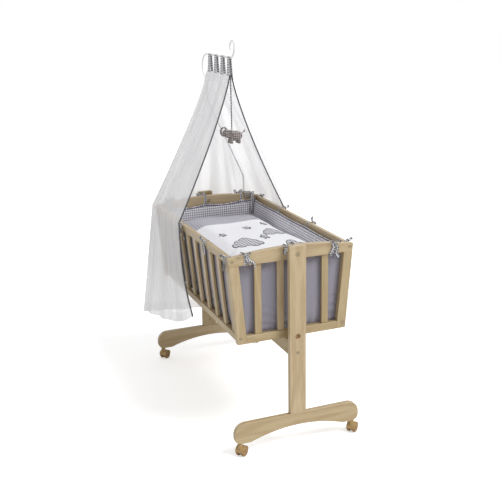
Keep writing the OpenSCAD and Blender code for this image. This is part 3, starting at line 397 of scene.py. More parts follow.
class Graph:
    """Adds nodes to one node tree and links them."""

    def __init__(self, tree: bpy.types.NodeTree) -> None:
        """Keeps the tree that the nodes go into."""
        self.tree = tree

    def feed(self, socket: bpy.types.NodeSocket, value: object) -> None:
        """Links another socket to an input, or sets the input to a plain value."""
        if isinstance(value, bpy.types.NodeSocket):
            self.tree.links.new(value, socket)
        else:
            socket.default_value = (*value, 1) if socket.type == "RGBA" and len(value) == 3 else value

    def put(self, kind: str, values: dict | None = None, **settings: object) -> bpy.types.Node:
        """Adds a node.

        Args:
            kind: The node's type without its ShaderNode prefix.
            values: What each input gets, by name or number: a socket to link, or a plain value.
            settings: The node's own properties.

        Returns:
            The new node.
        """
        node = self.tree.nodes.new(kind if kind.startswith("Node") else f"ShaderNode{kind}")
        for key, value in settings.items():
            setattr(node, key, value)
        for key, value in (values or {}).items():
            self.feed(node.inputs[key], value)
        return node

    def math(self, operation: str, *values: object, clamp: bool = False) -> bpy.types.NodeSocket:
        """The result of a Math node on sockets or numbers."""
        return self.put("Math", dict(enumerate(values)), operation=operation, use_clamp=clamp).outputs[0]

    def times(self, first: object, second: object) -> bpy.types.NodeSocket:
        """The product of two numbers."""
        return self.math("MULTIPLY", first, second)

    def line(self, value: object, factor: object, start: object) -> bpy.types.NodeSocket:
        """A straight line of a value: its factor and where it starts."""
        return self.math("MULTIPLY_ADD", value, factor, start)

    def ramp(self, value: object, low: float, high: float) -> bpy.types.NodeSocket:
        """0 below low, 1 above high, and smooth between them."""
        return self.put("MapRange", {0: value, 1: low, 2: high}, interpolation_type="SMOOTHSTEP").outputs[0]

    def blend(self, share: object, first: object, second: object, kind: str = "MIX") -> bpy.types.NodeSocket:
        """A colour between the first and the second one."""
        return self.put("Mix", {0: share, 6: first, 7: second}, data_type="RGBA", blend_type=kind).outputs[2]

    def shaded(self, colour: object, level: object) -> bpy.types.NodeSocket:
        """A colour times a level of grey."""
        grey = self.put("CombineColor", {0: level, 1: level, 2: level}).outputs[0]
        return self.blend(1.0, colour, grey, "MULTIPLY")

    def noise(self, vector: object, scale: object, detail: float, **more: float) -> bpy.types.NodeSocket:
        """Noise from 0 to 1, with that many features to a metre."""
        return self.put("TexNoise", {"Vector": vector, "Scale": scale, "Detail": detail, **more}).outputs[0]

    def stretched(self, vector: object, factors: Sequence[float]) -> bpy.types.NodeSocket:
        """A vector times three factors."""
        return self.put("VectorMath", {0: vector, 1: factors}, operation="MULTIPLY").outputs[0]

    def parts(self, vector: object) -> tuple[bpy.types.NodeSocket, bpy.types.NodeSocket]:
        """A vector's first two coordinates."""
        return tuple(self.put("SeparateXYZ", {0: vector}).outputs[:2])


class Effect(Graph):
    """A node group with named inputs and outputs, for finishes to share."""

    def __init__(self, name: str, **inputs: str) -> None:
        """Starts the group. Each input's value is its socket kind, Float or Vector."""
        super().__init__(bpy.data.node_groups.new(name, "ShaderNodeTree"))
        for key, kind in inputs.items():
            self.tree.interface.new_socket(key, in_out="INPUT", socket_type=f"NodeSocket{kind}")
        self.given = self.put("NodeGroupInput").outputs

    def giving(self, **outputs: bpy.types.NodeSocket) -> bpy.types.NodeTree:
        """Ends the group with its outputs, which are numbers."""
        for key in outputs:
            self.tree.interface.new_socket(key, in_out="OUTPUT", socket_type="NodeSocketFloat")
        self.put("NodeGroupOutput", outputs)
        return self.tree


class Effects:
    """The node groups that several finishes share, each built once."""

    def __init__(self) -> None:
        """Builds the groups."""
        self.grain = self._grain()
        self.weave = self._weave()
        self.check = self._check()
        self.mottle = self._mottle()

    @staticmethod
    def _grain() -> bpy.types.NodeTree:
        """Pine with its fibres along Z: wavy growth figure and fine streaks."""
        g = Effect("wood_grain", Vector="Vector", Board="Float")
        board = g.given["Board"]
        shift = g.put("CombineXYZ", {0: g.times(board, 3.1), 1: g.times(board, 7.7), 2: board}).outputs[0]
        place = g.put("VectorMath", {0: g.given["Vector"], 1: shift}, operation="ADD").outputs[0]
        slow = g.stretched(place, (1, 1, 0.12))
        bend = g.noise(slow, 9.0, 2.0)
        wide = g.noise(slow, 34.0, 3.0, Distortion=0.6)
        rings = g.math("SINE", g.math("ADD", g.times(bend, 42.0), g.times(wide, 7.0)))
        figure = g.line(rings, 0.5, 0.5)
        fine = g.noise(g.stretched(place, (1, 1, 0.03)), 620.0, 3.0, Roughness=0.6)
        streak = g.ramp(fine, 0.38, 0.66)
        return g.giving(Figure=figure, Streak=streak, Height=g.line(figure, 0.35, g.times(streak, 0.65)))

    @staticmethod
    def _weave() -> bpy.types.NodeTree:
        """Plain weave in cloth coordinates: threads pass over and under, with uneven yarn."""
        g = Effect("plain_weave", Vector="Vector", Pitch="Float")
        turn = g.math("DIVIDE", 2 * math.pi, g.given["Pitch"])
        across, along = (g.math("SINE", g.times(part, turn)) for part in g.parts(g.given["Vector"]))
        slub = g.noise(g.given["Vector"], g.math("DIVIDE", 0.22, g.given["Pitch"]), 3.0)
        return g.giving(Thread=g.line(g.times(across, along), 0.5, 0.5), Slub=slub)

    @staticmethod
    def _check() -> bpy.types.NodeTree:
        """Small woven check: 0 where both sets of threads are pale, 0.35 where one is, else 1."""
        g = Effect("small_check", Vector="Vector", Cell="Float")
        bands = []
        for part in g.parts(g.given["Vector"]):
            cell = g.math("DIVIDE", part, g.times(g.given["Cell"], 2.0))
            bands.append(g.ramp(g.math("PINGPONG", cell, 0.5), 0.22, 0.28))
        return g.giving(Dark=g.math("POWER", g.times(g.math("ADD", *bands), 0.5), 1.5))

    @staticmethod
    def _mottle() -> bpy.types.NodeTree:
        """Soft patches and a fine grain, for gloss that isn't the same all over."""
        g = Effect("mottle", Vector="Vector", Size="Float")
        rate = g.math("DIVIDE", 1.0, g.given["Size"])
        patch = g.noise(g.given["Vector"], rate, 3.0)
        return g.giving(Patch=patch, Fine=g.noise(g.given["Vector"], g.times(rate, 14.0), 2.0))


class Blank(Graph):
    """A new material's graph, with its shader and the coordinates that patterns read."""

    def __init__(self, name: str) -> None:
        """Makes the material."""
        self.material = bpy.data.materials.new(name)
        self.material.use_nodes = True
        super().__init__(self.material.node_tree)
        self.shader = self.tree.nodes["Principled BSDF"]
        self.place = self.put("TexCoord").outputs["Object"]

    def cloth_place(self) -> bpy.types.NodeSocket:
        """The piece's own cloth coordinates, in metres."""
        return self.put("UVMap", uv_map="UVMap").outputs[0]

    def use(self, group: bpy.types.NodeTree, **values: object) -> dict[str, bpy.types.NodeSocket]:
        """Places a shared effect with its values, and gives its outputs by name."""
        return self.put("Group", values, node_tree=group).outputs

    def set(self, **values: object) -> None:
        """Sets or links the shader's sockets, named with _ for a space."""
        for key, value in values.items():
            self.feed(self.shader.inputs[key.replace("_", " ")], value)

    def bump(self, height: object, depth: float, strength: float = 1.0) -> None:
        """Links a relief of that depth in metres to the shader's normal."""
        relief = self.put("Bump", {"Height": height, "Distance": depth, "Strength": strength})
        self.set(Normal=relief.outputs[0])


class Fibre(Enum):
    """The direction that a board's fibres run in, as the turn that brings it to Z."""

    ALONG = (0.0, math.pi / 2, 0.0)
    ACROSS = (math.pi / 2, 0.0, 0.0)
    UP = (0.0, 0.0, 0.0)


@dataclass(frozen=True)
class Pine:
    """Clear-lacquered pine boards."""

    pale: Colour = (0.510, 0.400, 0.232)
    deep: Colour = (0.370, 0.258, 0.124)
    streak: Colour = (0.275, 0.180, 0.080)

    def made(self, effects: Effects, fibre: Fibre) -> bpy.types.Material:
        """The finish for boards whose fibres run that way."""
        b = Blank(f"lacquered_pine_{fibre.name.lower()}")
        turned = b.put("Mapping", {"Vector": b.place, "Rotation": fibre.value}).outputs[0]
        board = b.put("Attribute", attribute_name="board").outputs["Fac"]
        grain = b.use(effects.grain, Vector=turned, Board=board)
        colour = b.blend(b.times(grain["Figure"], 0.55), self.pale, self.deep)
        colour = b.blend(b.times(grain["Streak"], 0.30), colour, self.streak)
        tone = b.line(board, 0.22, 0.90)
        tint = b.put("CombineColor", {0: tone, 1: tone, 2: b.line(board, 0.36, 0.84)}).outputs[0]
        gloss = b.use(effects.mottle, Vector=b.place, Size=0.05)
        b.set(Base_Color=b.blend(1.0, colour, tint, "MULTIPLY"), Coat_Weight=0.25, Coat_Roughness=0.22,
              Roughness=b.line(gloss["Patch"], 0.16, 0.34))
        b.bump(grain["Height"], 0.00012, 0.6)
        return b.material


@dataclass(frozen=True)
class Metal:
    """Plated or bright steel."""

    name: str = "brass_plated_steel"
    colour: Colour = (0.47, 0.39, 0.26)
    roughness: float = 0.38

    def made(self, effects: Effects) -> bpy.types.Material:
        """The finish, with a slightly clouded plating."""
        b = Blank(self.name)
        cloud = b.use(effects.mottle, Vector=b.place, Size=0.012)
        dull = tuple(0.82 * c for c in self.colour)
        b.set(Base_Color=b.blend(cloud["Patch"], self.colour, dull), Metallic=1.0,
              Roughness=b.line(cloud["Patch"], 0.22, self.roughness - 0.08))
        b.bump(cloud["Fine"], 0.00003)
        return b.material


@dataclass(frozen=True)
class Moulded:
    """Moulded plastic or a powder coat."""

    name: str
    colour: Colour
    roughness: float

    def made(self, effects: Effects) -> bpy.types.Material:
        """The finish, with a fine moulded grain and faint scuffs."""
        b = Blank(self.name)
        marks = b.use(effects.mottle, Vector=b.place, Size=0.02)
        worn = tuple(min(1.0, 1.12 * c + 0.01) for c in self.colour)
        b.set(Base_Color=b.blend(b.ramp(marks["Patch"], 0.45, 0.75), self.colour, worn),
              Roughness=b.line(marks["Fine"], 0.2, self.roughness - 0.1))
        b.bump(marks["Fine"], 0.00004)
        return b.material


@dataclass(frozen=True)
class Cloth:
    """Woven cotton, plain or with a small check whose cells have a size."""

    name: str
    pale: Colour
    dark: Colour
    cell: float = 0.0
    pitch: float = 0.0009
    relief: float = 0.00022

    def made(self, effects: Effects) -> bpy.types.Material:
        """The finish in the piece's own cloth coordinates."""
        b = Blank(self.name)
        place = b.cloth_place()
        weave = b.use(effects.weave, Vector=place, Pitch=self.pitch)
        self.woven(b, effects, weave, self.colour(b, effects, place, weave))
        return b.material

    def colour(self, b: Blank, effects: Effects, place: bpy.types.NodeSocket,
               weave: dict) -> bpy.types.NodeSocket:
        """The cloth's colour: its check or its plain yarn, a little uneven, and darker where the threads dip,
        a painted shade of the weave.
        """
        if self.cell:
            dark = b.use(effects.check, Vector=place, Cell=self.cell)["Dark"]
        else:
            dark = b.ramp(weave["Slub"], 0.35, 0.70)
        # painted shade: the colour is dimmed where the weave's threads dip, standing in for the shade between
        # them
        return b.shaded(b.blend(dark, self.pale, self.dark), b.line(weave["Thread"], 0.10, 0.93))

    def woven(self, b: Blank, effects: Effects, weave: dict, colour: bpy.types.NodeSocket) -> None:
        """Sets the shader to cotton of that colour, with the relief of threads and small creases."""
        b.set(Base_Color=colour, Roughness=0.86, Sheen_Weight=0.25, Sheen_Roughness=0.5)
        crease = b.use(effects.mottle, Vector=b.place, Size=0.035)["Patch"]
        b.bump(b.line(weave["Thread"], 0.25, b.times(crease, 6.0)), self.relief)


@dataclass(frozen=True)
class TwoSidedCloth:
    """A pad's cover: one cloth where the number face_side is below its limit, another above."""

    name: str
    below: Cloth
    above: Cloth
    limit: float = 0.0
    seam: float = 0.0004

    def made(self, effects: Effects) -> bpy.types.Material:
        """The finish, its two cloths parted by the number."""
        b = Blank(self.name)
        place = b.cloth_place()
        weave = b.use(effects.weave, Vector=place, Pitch=self.below.pitch)
        side = b.put("Attribute", attribute_name="face_side").outputs["Fac"]
        share = b.ramp(side, self.limit - self.seam, self.limit + self.seam)
        sides = [cloth.colour(b, effects, place, weave) for cloth in (self.below, self.above)]
        self.below.woven(b, effects, weave, b.blend(share, *sides))
        return b.material


@dataclass(frozen=True)
class Voile:
    """Sheer white voile with a doubled, stitched hem.

    The cloth covers more of what is behind it where it is seen edge on and where it is gathered. Where it is
    gathered its colour is also darkened, a painted shade of the folds.
    """

    colour: Colour = (0.955, 0.955, 0.970)
    alpha: float = 0.66
    through: float = 0.13
    drape: float = 0.19
    edge_on: float = 0.60
    hem: float = 0.038
    stitch: float = 0.004

    def hem_cover(self, b: Blank,
                  place: bpy.types.NodeSocket) -> tuple[bpy.types.NodeSocket, bpy.types.NodeSocket]:
        """How much more the hem covers, and its row of stitches."""
        across, above = b.parts(place)
        doubled = b.math("LESS_THAN", above, self.hem)
        row = b.math("COMPARE", above, self.hem - 0.0015, 0.0008)
        dash = b.math("LESS_THAN", b.math("FRACT", b.math("DIVIDE", across, self.stitch)), 0.7)
        thread = b.times(row, dash)
        return b.math("ADD", b.times(doubled, 0.09), b.times(thread, 0.3)), thread

    def made(self, effects: Effects) -> bpy.types.Material:
        """The finish. The cloth's second coordinate is the height above its hem."""
        b = Blank("sheer_voile")
        b.material.surface_render_method = "DITHERED"
        place = b.cloth_place()
        weave = b.use(effects.weave, Vector=place, Pitch=0.0008)
        hem, thread = self.hem_cover(b, place)
        gather = b.ramp(b.noise(b.stretched(place, (17.0, 1.6, 1.0)), 1.0, 2.0), 0.36, 0.64)
        mesh = b.math("ADD", b.line(weave["Thread"], 0.12, self.alpha - 0.06),
                      b.line(gather, self.drape, -0.5 * self.drape))
        # painted shade: the colour is darker where the cloth is gathered, standing in for the shade inside
        # its folds
        b.set(Base_Color=b.shaded(self.colour, b.line(gather, -0.10, 1.03)), Roughness=0.72, Sheen_Weight=0.3,
              Sheen_Roughness=0.45)
        b.bump(b.math("SUBTRACT", b.times(weave["Slub"], 0.5), b.times(thread, 1.0)), 0.00025)
        lit = b.put("BsdfTranslucent", {"Color": self.colour}).outputs[0]
        cloth = b.put("MixShader", {0: self.through, 1: b.shader.outputs[0], 2: lit}).outputs[0]
        grazing = b.math("POWER", b.put("LayerWeight", {0: 0.5}).outputs["Facing"], 1.6)
        woven = b.math("ADD", mesh, hem, clamp=True)
        holes = b.math("SUBTRACT", 1.0, woven)
        cover = b.math("ADD", woven, b.times(holes, b.times(grazing, self.edge_on)), clamp=True)
        clear = b.put("BsdfTransparent").outputs[0]
        seen = b.put("MixShader", {0: cover, 1: clear, 2: cloth}).outputs[0]
        b.feed(b.tree.nodes["Material Output"].inputs["Surface"], seen)
        return b.material


@dataclass(frozen=True)
class Braid:
    """A braided cord with a pale and a dark yarn."""

    pale: Colour = (0.40, 0.39, 0.41)
    dark: Colour = (0.03, 0.03, 0.035)
    step: float = 0.0120
    girth: float = 0.0157

    def made(self, effects: Effects) -> bpy.types.Material:
        """The finish in the cord's own coordinates: two sets of slanting yarns."""
        b = Blank("braided_cord")
        place = b.cloth_place()
        across, along = b.parts(place)
        up, side = b.math("DIVIDE", along, self.step), b.math("DIVIDE", across, self.girth)
        one, two = (b.math("PINGPONG", b.math(way, up, side), 0.5) for way in ("ADD", "SUBTRACT"))
        dark = b.ramp(b.math("MAXIMUM", one, two), 0.26, 0.34)
        weave = b.use(effects.weave, Vector=place, Pitch=0.0006)
        b.set(Base_Color=b.blend(dark, self.pale, self.dark), Roughness=0.8, Sheen_Weight=0.3)
        b.bump(b.line(b.times(one, two), 2.0, b.times(weave["Thread"], 0.2)), 0.0006)
        return b.material


class Finishes:
    """Every finish of the bassinet, made once."""

    def __init__(self) -> None:
        """Makes the materials."""
        e = Effects()
        grey = Cloth("grey_cotton", (0.305, 0.292, 0.345), (0.262, 0.25, 0.298))
        check = Cloth("check_cotton", (0.93, 0.92, 0.96), (0.215, 0.207, 0.25), cell=0.0052)
        band = Cloth("band_cotton", (0.53, 0.525, 0.58), (0.20, 0.195, 0.24), cell=0.0052)
        white = Cloth("white_cotton", (0.86, 0.865, 0.895), (0.83, 0.835, 0.87))
        self.pine = {fibre: Pine().made(e, fibre) for fibre in Fibre}
        self.steel = Metal().made(e)
        self.coat = Moulded("white_coated_steel", (0.80, 0.80, 0.81), 0.36).made(e)
        self.clamp = Moulded("clamp_plastic", (0.34, 0.31, 0.27), 0.55).made(e)
        self.brown = Moulded("brown_plastic", (0.36, 0.20, 0.075), 0.40).made(e)
        self.caster = Moulded("caster_hood_plastic", (0.40, 0.262, 0.105), 0.34).made(e)
        self.wheel = Moulded("caster_wheel_plastic", (0.30, 0.165, 0.058), 0.34).made(e)
        self.ticking = Cloth("mattress_cover", (0.83, 0.83, 0.82), (0.80, 0.80, 0.795)).made(e)
        self.bumper = TwoSidedCloth("bumper_cotton", grey, check).made(e)
        self.duvet = TwoSidedCloth("duvet_cotton", band, white, limit=Duvet.band_x).made(e)
        self.patch = Cloth("patch_check", (0.70, 0.69, 0.73), (0.12, 0.115, 0.14), cell=0.0062).made(e)
        self.outline = Cloth("patch_stitching", (0.045, 0.043, 0.05), (0.03, 0.03, 0.034)).made(e)
        self.piping = Cloth("piping_cotton", (0.115, 0.10, 0.16), (0.085, 0.075, 0.12)).made(e)
        self.ribbon = Cloth("check_ribbon", (0.66, 0.66, 0.68), (0.030, 0.029, 0.034), 0.0044, 0.0006).made(e)
        self.tab_cloth = Cloth("tab_check", (0.84, 0.84, 0.86), (0.07, 0.07, 0.078), 0.0050, 0.0006).made(e)
        self.voile = Voile().made(e)
        self.binding = Cloth("voile_binding", (0.085, 0.083, 0.095), (0.055, 0.054, 0.062)).made(e)
        self.braid = Braid().made(e)
        self.plush = Cloth("dark_plush", (0.40, 0.35, 0.335), (0.045, 0.037, 0.040), 0.0045,
                           relief=0.0005).made(e)
        self.button = Moulded("pale_button", (0.75, 0.74, 0.72), 0.35).made(e)


# ------------------------------------------------------------------ studio


@dataclass
class Studio:
    """Camera, floor, lamp and sky."""

    spot: tuple[float, float, float] = (3.22178, -1.26442, 1.66519)
    azimuth: float = 68.2698
    elevation: float = 16.3582
    roll: float = -1.0468
    lens: float = 61.986
    sensor: float = 36.0
    near: float = 0.05
    far: float = 60.0
    floor_reach: float = 14.0
    floor_z: float = -0.0002
    floor_glow: float = 0.50
    key: float = 2.1
    key_spread: float = math.radians(24)
    key_from: tuple[float, float, float] = (0.62, 0.50, 0.95)
    sky: float = 0.52

    def camera(self) -> None:
        """The camera, its axes worked out from its azimuth, elevation and roll."""
        a, e, r = np.radians([self.azimuth, self.elevation, self.roll])
        back = np.array([np.sin(a) * np.cos(e), -np.cos(a) * np.cos(e), np.sin(e)])
        right = unit(np.cross(-back, Z_WAY))
        up = np.cross(right, -back)
        level = np.cos(r) * right + np.sin(r) * up
        upright = -np.sin(r) * right + np.cos(r) * up
        data = bpy.data.cameras.new("camera")
        data.sensor_width, data.lens = self.sensor, self.lens
        data.clip_start, data.clip_end = self.near, self.far
        eye = linked("camera", data)
        turn = Matrix(np.stack([level, upright, back], 1).tolist()).to_4x4()
        eye.matrix_world = Matrix.Translation(self.spot) @ turn
        bpy.context.scene.camera = eye

    def floor(self) -> None:
        """A pale floor that keeps the object's shadow and shows white to the camera elsewhere."""
        side = np.array([-self.floor_reach, self.floor_reach])
        x, y = np.meshgrid(side, side)
        plane = grid(together(x, y, self.floor_z), side, side)
        b = Blank("pale_floor")
        b.set(Base_Color=b.blend(b.noise(b.place, 1.4, 3.0), (0.90, 0.90, 0.90), (0.93, 0.93, 0.93)),
              Roughness=0.9, Specular_IOR_Level=0.1)
        seen = b.put("LightPath").outputs["Is Camera Ray"]
        b.set(Emission_Color=(1, 1, 1, 1), Emission_Strength=b.times(seen, self.floor_glow))
        plane.made("floor", b.material)

    def lamp(self) -> None:
        """A large soft lamp from the right of the foot end."""
        data = bpy.data.lights.new("key", "SUN")
        data.energy, data.angle = self.key, self.key_spread
        aim = unit(np.array(self.key_from))
        right = unit(np.cross(Z_WAY, aim))
        turn = np.stack([right, np.cross(aim, right), aim], 1)
        linked("key", data).matrix_world = Matrix(turn.tolist()).to_4x4()

    def backdrop(self) -> None:
        """An even sky that is white to the camera."""
        world = bpy.data.worlds.new("studio")
        world.use_nodes = True
        bpy.context.scene.world = world
        g = Graph(world.node_tree)
        path = g.put("LightPath").outputs
        seen = g.math("MAXIMUM", path["Is Camera Ray"], path["Is Glossy Ray"])
        seen = g.math("MAXIMUM", seen, path["Is Transmission Ray"])
        sky = world.node_tree.nodes["Background"]
        g.feed(sky.inputs["Color"], (1, 1, 1, 1))
        g.feed(sky.inputs["Strength"], g.line(seen, 1.0 - self.sky, self.sky))

    def built(self) -> None:
        """Sets up the whole studio."""
        self.camera()
        self.floor()
        self.lamp()
        self.backdrop()
        bpy.context.scene.view_settings.view_transform = "Standard"


# ------------------------------------------------------------------ boards and hardware


def dressed_copy(node: str, name: str, body: str, finish: bpy.types.Material,
                 edge: float, segments: int = 2) -> None:
    """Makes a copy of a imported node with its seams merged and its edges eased.

    Each separate board gets a number from 0 to 1 of its own, named board.

    Args:
        node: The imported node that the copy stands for.
        name: The copy's name.
        body: The body it rides on.
        finish: Its material.
        edge: Width of the eased edges in metres.
        segments: Faces across an eased edge.
    """
    mesh = bpy.data.objects[node].data.copy()
    mesh.name = name
    shape = bmesh.new()
    shape.from_mesh(mesh)
    bmesh.ops.remove_doubles(shape, verts=shape.verts[:], dist=2e-6)
    flat = math.radians(0.6)
    bmesh.ops.dissolve_limit(shape, angle_limit=flat, verts=shape.verts[:], edges=shape.edges[:])
    shape.to_mesh(mesh)
    shape.free()
    mesh.materials.clear()
    mesh.materials.append(finish)
    mesh.polygons.foreach_set("material_index", np.zeros(len(mesh.polygons), np.int32))
    mesh.polygons.foreach_set("use_smooth", np.ones(len(mesh.polygons), bool))
    mesh.set_sharp_from_angle(angle=CREASE)
    set_numbers(mesh, "board", board_numbers(mesh, node))
    made = linked(name, mesh)
    bevel = made.modifiers.new("eased_edges", "BEVEL")
    bevel.width, bevel.segments, bevel.limit_method, bevel.angle_limit = edge, segments, "ANGLE", CREASE
    bevel.use_clamp_overlap, bevel.loop_slide = False, False
    even = made.modifiers.new("flat_faces", "WEIGHTED_NORMAL")
    even.weight, even.keep_sharp = 100, True
    declared(made, body, node)


def board_numbers(mesh: bpy.types.Mesh, seed: str) -> Array:
    """A number from 0 to 1 for each point, the same all over one separate solid of the mesh.

    Points take the lowest number among their neighbours until nothing changes, and the golden
    ratio spreads the solids' numbers.
    """
    edges = np.empty(len(mesh.edges) * 2, np.int32)
    mesh.edges.foreach_get("vertices", edges)
    a, b = edges.reshape(-1, 2).T
    label = np.arange(len(mesh.vertices))
    before = None
    while before is None or (label != before).any():
        before = label.copy()
        low = np.minimum(label[a], label[b])
        np.minimum.at(label, a, low)
        np.minimum.at(label, b, low)
        label = label[label]
    _, island = np.unique(label, return_inverse=True)
    start = sum(ord(c) * (k + 3) for k, c in enumerate(seed)) % 97
    return ((island + start) * 0.61803) % 1.0


def repaint(node: str, finish: bpy.types.Material) -> None:
    """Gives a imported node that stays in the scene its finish."""
    for slot in bpy.data.objects[node].material_slots:
        slot.material = finish
    LOG.info("finish %s on %s", finish.name, node)


@dataclass
class Woodwork:
    """All boards of the stand and the cradle, as copies with eased edges."""

    edge: float = 0.0016
    boards: dict[Fibre, tuple[str, ...]] = field(default_factory=lambda: {
        Fibre.ALONG: ("cross_beam", "left_top_rail", "left_bottom_rail", "right_top_rail",
                      "right_bottom_rail", "base_battens"),
        Fibre.ACROSS: ("head_base_rail", "foot_base_rail", "head_top_rail", "head_bottom_rail",
                       "foot_top_rail", "foot_bottom_rail", "base_slats"),
        Fibre.UP: ("head_post", "foot_post", "head_stiles", "head_slats", "foot_stiles",
                   "foot_slats", "left_slats", "right_slats"),
    })
    dowels: tuple[str, ...] = ("frame_dowels", "panel_dowels")

    def built(self, finishes: Finishes, body_of: dict[str, str]) -> None:
        """Copies every board and gives the dowels their finish."""
        for fibre, names in self.boards.items():
            for name in names:
                pine = finishes.pine[fibre]
                dressed_copy(name, f"{name}_board", body_of[name], pine, self.edge)
        for name in self.dowels:
            repaint(name, finishes.pine[Fibre.UP])


@dataclass
class Hardware:
    """Bolts, nuts, bushes, spacers, clamp and casters."""

    edge: float = 0.0012
    steel: tuple[str, ...] = ("frame_bolts", "frame_barrel_nuts", "pivot_bolts", "pivot_nuts", "pivot_bushes",
                              "panel_bolts", "panel_barrel_nuts", "clamp_screw", "caster_stems")
    brown: tuple[str, ...] = ("pivot_spacers", "lock_bolts", "caster_sockets")
    corners: tuple[str, ...] = ("head_left", "head_right", "foot_left", "foot_right")

    def built(self, finishes: Finishes, body_of: dict[str, str]) -> None:
        """Dresses the hardware, the clamp and the four casters."""
        for names, finish in ((self.steel, finishes.steel), (self.brown, finishes.brown)):
            for name in names:
                repaint(name, finish)
        clamp = "rod_clamp"
        dressed_copy(clamp, f"{clamp}_body", body_of[clamp], finishes.clamp, self.edge)
        for corner in self.corners:
            for part, finish in (("housing", finishes.caster), ("wheels", finishes.wheel)):
                node = f"{corner}_caster_{part}"
                dressed_copy(node, f"{node}_shell", body_of[node], finish, self.edge, 3)
            repaint(f"{corner}_caster_axle", finishes.steel)


# ------------------------------------------------------------------ padded pieces


@dataclass
class Padding:
    """Blows up closed covers with cloth simulation, all in one run.

    Each cover is remeshed into even cells, drawn in a little, and then filled by pressure. How far a
    point may move is capped, so that the pad stays in its room.
    """

    frames: int = 20
    pads: list[tuple[bpy.types.Object, float]] = field(default_factory=list)

    def add(self, cover: bpy.types.Object, cell: float, inset: float, cap: float,
            slack: float = 0.03) -> None:
        """Readies one cover for the run.

        Args:
            cover: The closed cover.
            cell: Size of the remeshed cells in metres.
            inset: How far the cover is drawn in first.
            cap: How far a point may then move.
            slack: Share by which the cloth is larger than the cover, which gives it creases.
        """
        fused(cover, cell)
        baked(cover)
        set_coordinates(cover.data, coordinates(cover.data) - inset * normals(cover.data))
        cloth = cover.modifiers.new("cloth", "CLOTH")
        s = cloth.settings
        s.quality, s.mass, s.time_scale = 5, 0.3, 1.0
        s.tension_stiffness = s.compression_stiffness = 12.0
        s.shear_stiffness, s.bending_stiffness = 5.0, 0.3
        s.tension_damping = s.compression_damping = 6.0
        s.use_pressure, s.uniform_pressure_force = True, 4.0
        s.shrink_min = -slack
        s.effector_weights.gravity = 0.0
        cloth.collision_settings.use_collision = False
        cloth.point_cache.frame_start, cloth.point_cache.frame_end = 1, self.frames
        self.pads.append((cover, cap))

    def run(self) -> None:
        """Steps the frames once for all covers, and applies what comes out."""
        if not self.pads:
            return
        rest = [coordinates(cover.data) for cover, _ in self.pads]
        for frame in range(1, self.frames + 1):
            bpy.context.scene.frame_set(frame)
        for (cover, cap), start in zip(self.pads, rest):
            baked(cover)
            move = coordinates(cover.data) - start
            reach = np.maximum(np.linalg.norm(move, axis=1, keepdims=True), 1e-9)
            set_coordinates(cover.data, start + move * (cap * np.tanh(reach / cap) / reach))
            LOG.info("filled %s, %d points", cover.name, len(start))
        bpy.context.scene.frame_set(1)


def corners_of(node: str) -> Array:
    """The eight corners of a packed block, by low and high X, Y and Z, (2, 2, 2, 3).

    A corner is the block's point nearest to that of its box, with heights weighing most and the
    block's thin direction next, so that leaning sides give their own points.
    """
    points = np.unique(np.round(coordinates(bpy.data.objects[node].data), 5), axis=0)
    low, high = points.min(0), points.max(0)
    pick = np.stack(np.meshgrid([0, 1], [0, 1], [0, 1], indexing="ij"), -1)
    aim = low + pick * (high - low)
    z_weight = np.array([0.2, 1.0, 4.0]) if np.ptp(points[:, 0]) > 0.1 else np.array([4.0, 1.0, 4.0])
    gap = np.linalg.norm((aim[..., None, :] - points) * z_weight, axis=-1)
    return points[gap.argmin(-1)]


def block_point(corners: Array, at: Array) -> Array:
    """Points of a block at shares from 0 to 1 along its three directions, mixed from its corners."""
    x, y, z = (at[..., k, None] for k in range(3))
    near, far = corners
    low, high = (
        (near[0, k] * (1 - x) + far[0, k] * x) * (1 - y) + (near[1, k] * (1 - x) + far[1, k] * x) * y
        for k in (0, 1)
    )
    return low * (1 - z) + high * z


def pad_shape(corners: Array, thin: int, steps: tuple[int, int], edge: float = 0.30) -> Surface:
    """A closed pad in a block: two faces that meet in a seam round its middle.

    Across the block's long directions the shares follow a sine, so that cells are finer at the seam.
    The half thickness is the product, over both directions, of one minus the share to a high power,
    to the power edge.

    Args:
        corners: The block's corners from corners_of.
        thin: Number of the direction that the pad is thin in.
        steps: Cells along the two long directions.
        edge: How round the seam's sides are; small is full to the seam.

    Returns:
        The closed pad.
    """
    a = np.sin(np.linspace(-np.pi / 2, np.pi / 2, steps[0] + 1))[:, None]
    b = np.sin(np.linspace(-np.pi / 2, np.pi / 2, steps[1] + 1))[None]
    swell = ((1 - np.abs(a) ** 10) * (1 - np.abs(b) ** 10)) ** edge
    long = [k for k in range(3) if k != thin]
    sheets = []
    for side in (1, -1):
        at = np.zeros((*swell.shape, 3))
        at[..., thin] = 0.5 + 0.5 * side * swell
        at[..., long[0]] = 0.5 + 0.5 * a
        at[..., long[1]] = 0.5 + 0.5 * b
        sheet = grid(block_point(corners, at))
        sheets.append(sheet if (side > 0) == (thin != 1) else sheet.flipped())
    return Surface.joined(sheets)


def evened(values: Array) -> Array:
    """Each value's mean with its four neighbours on either side."""
    return np.convolve(np.pad(values, 4, mode="edge"), np.ones(9) / 9, mode="valid")


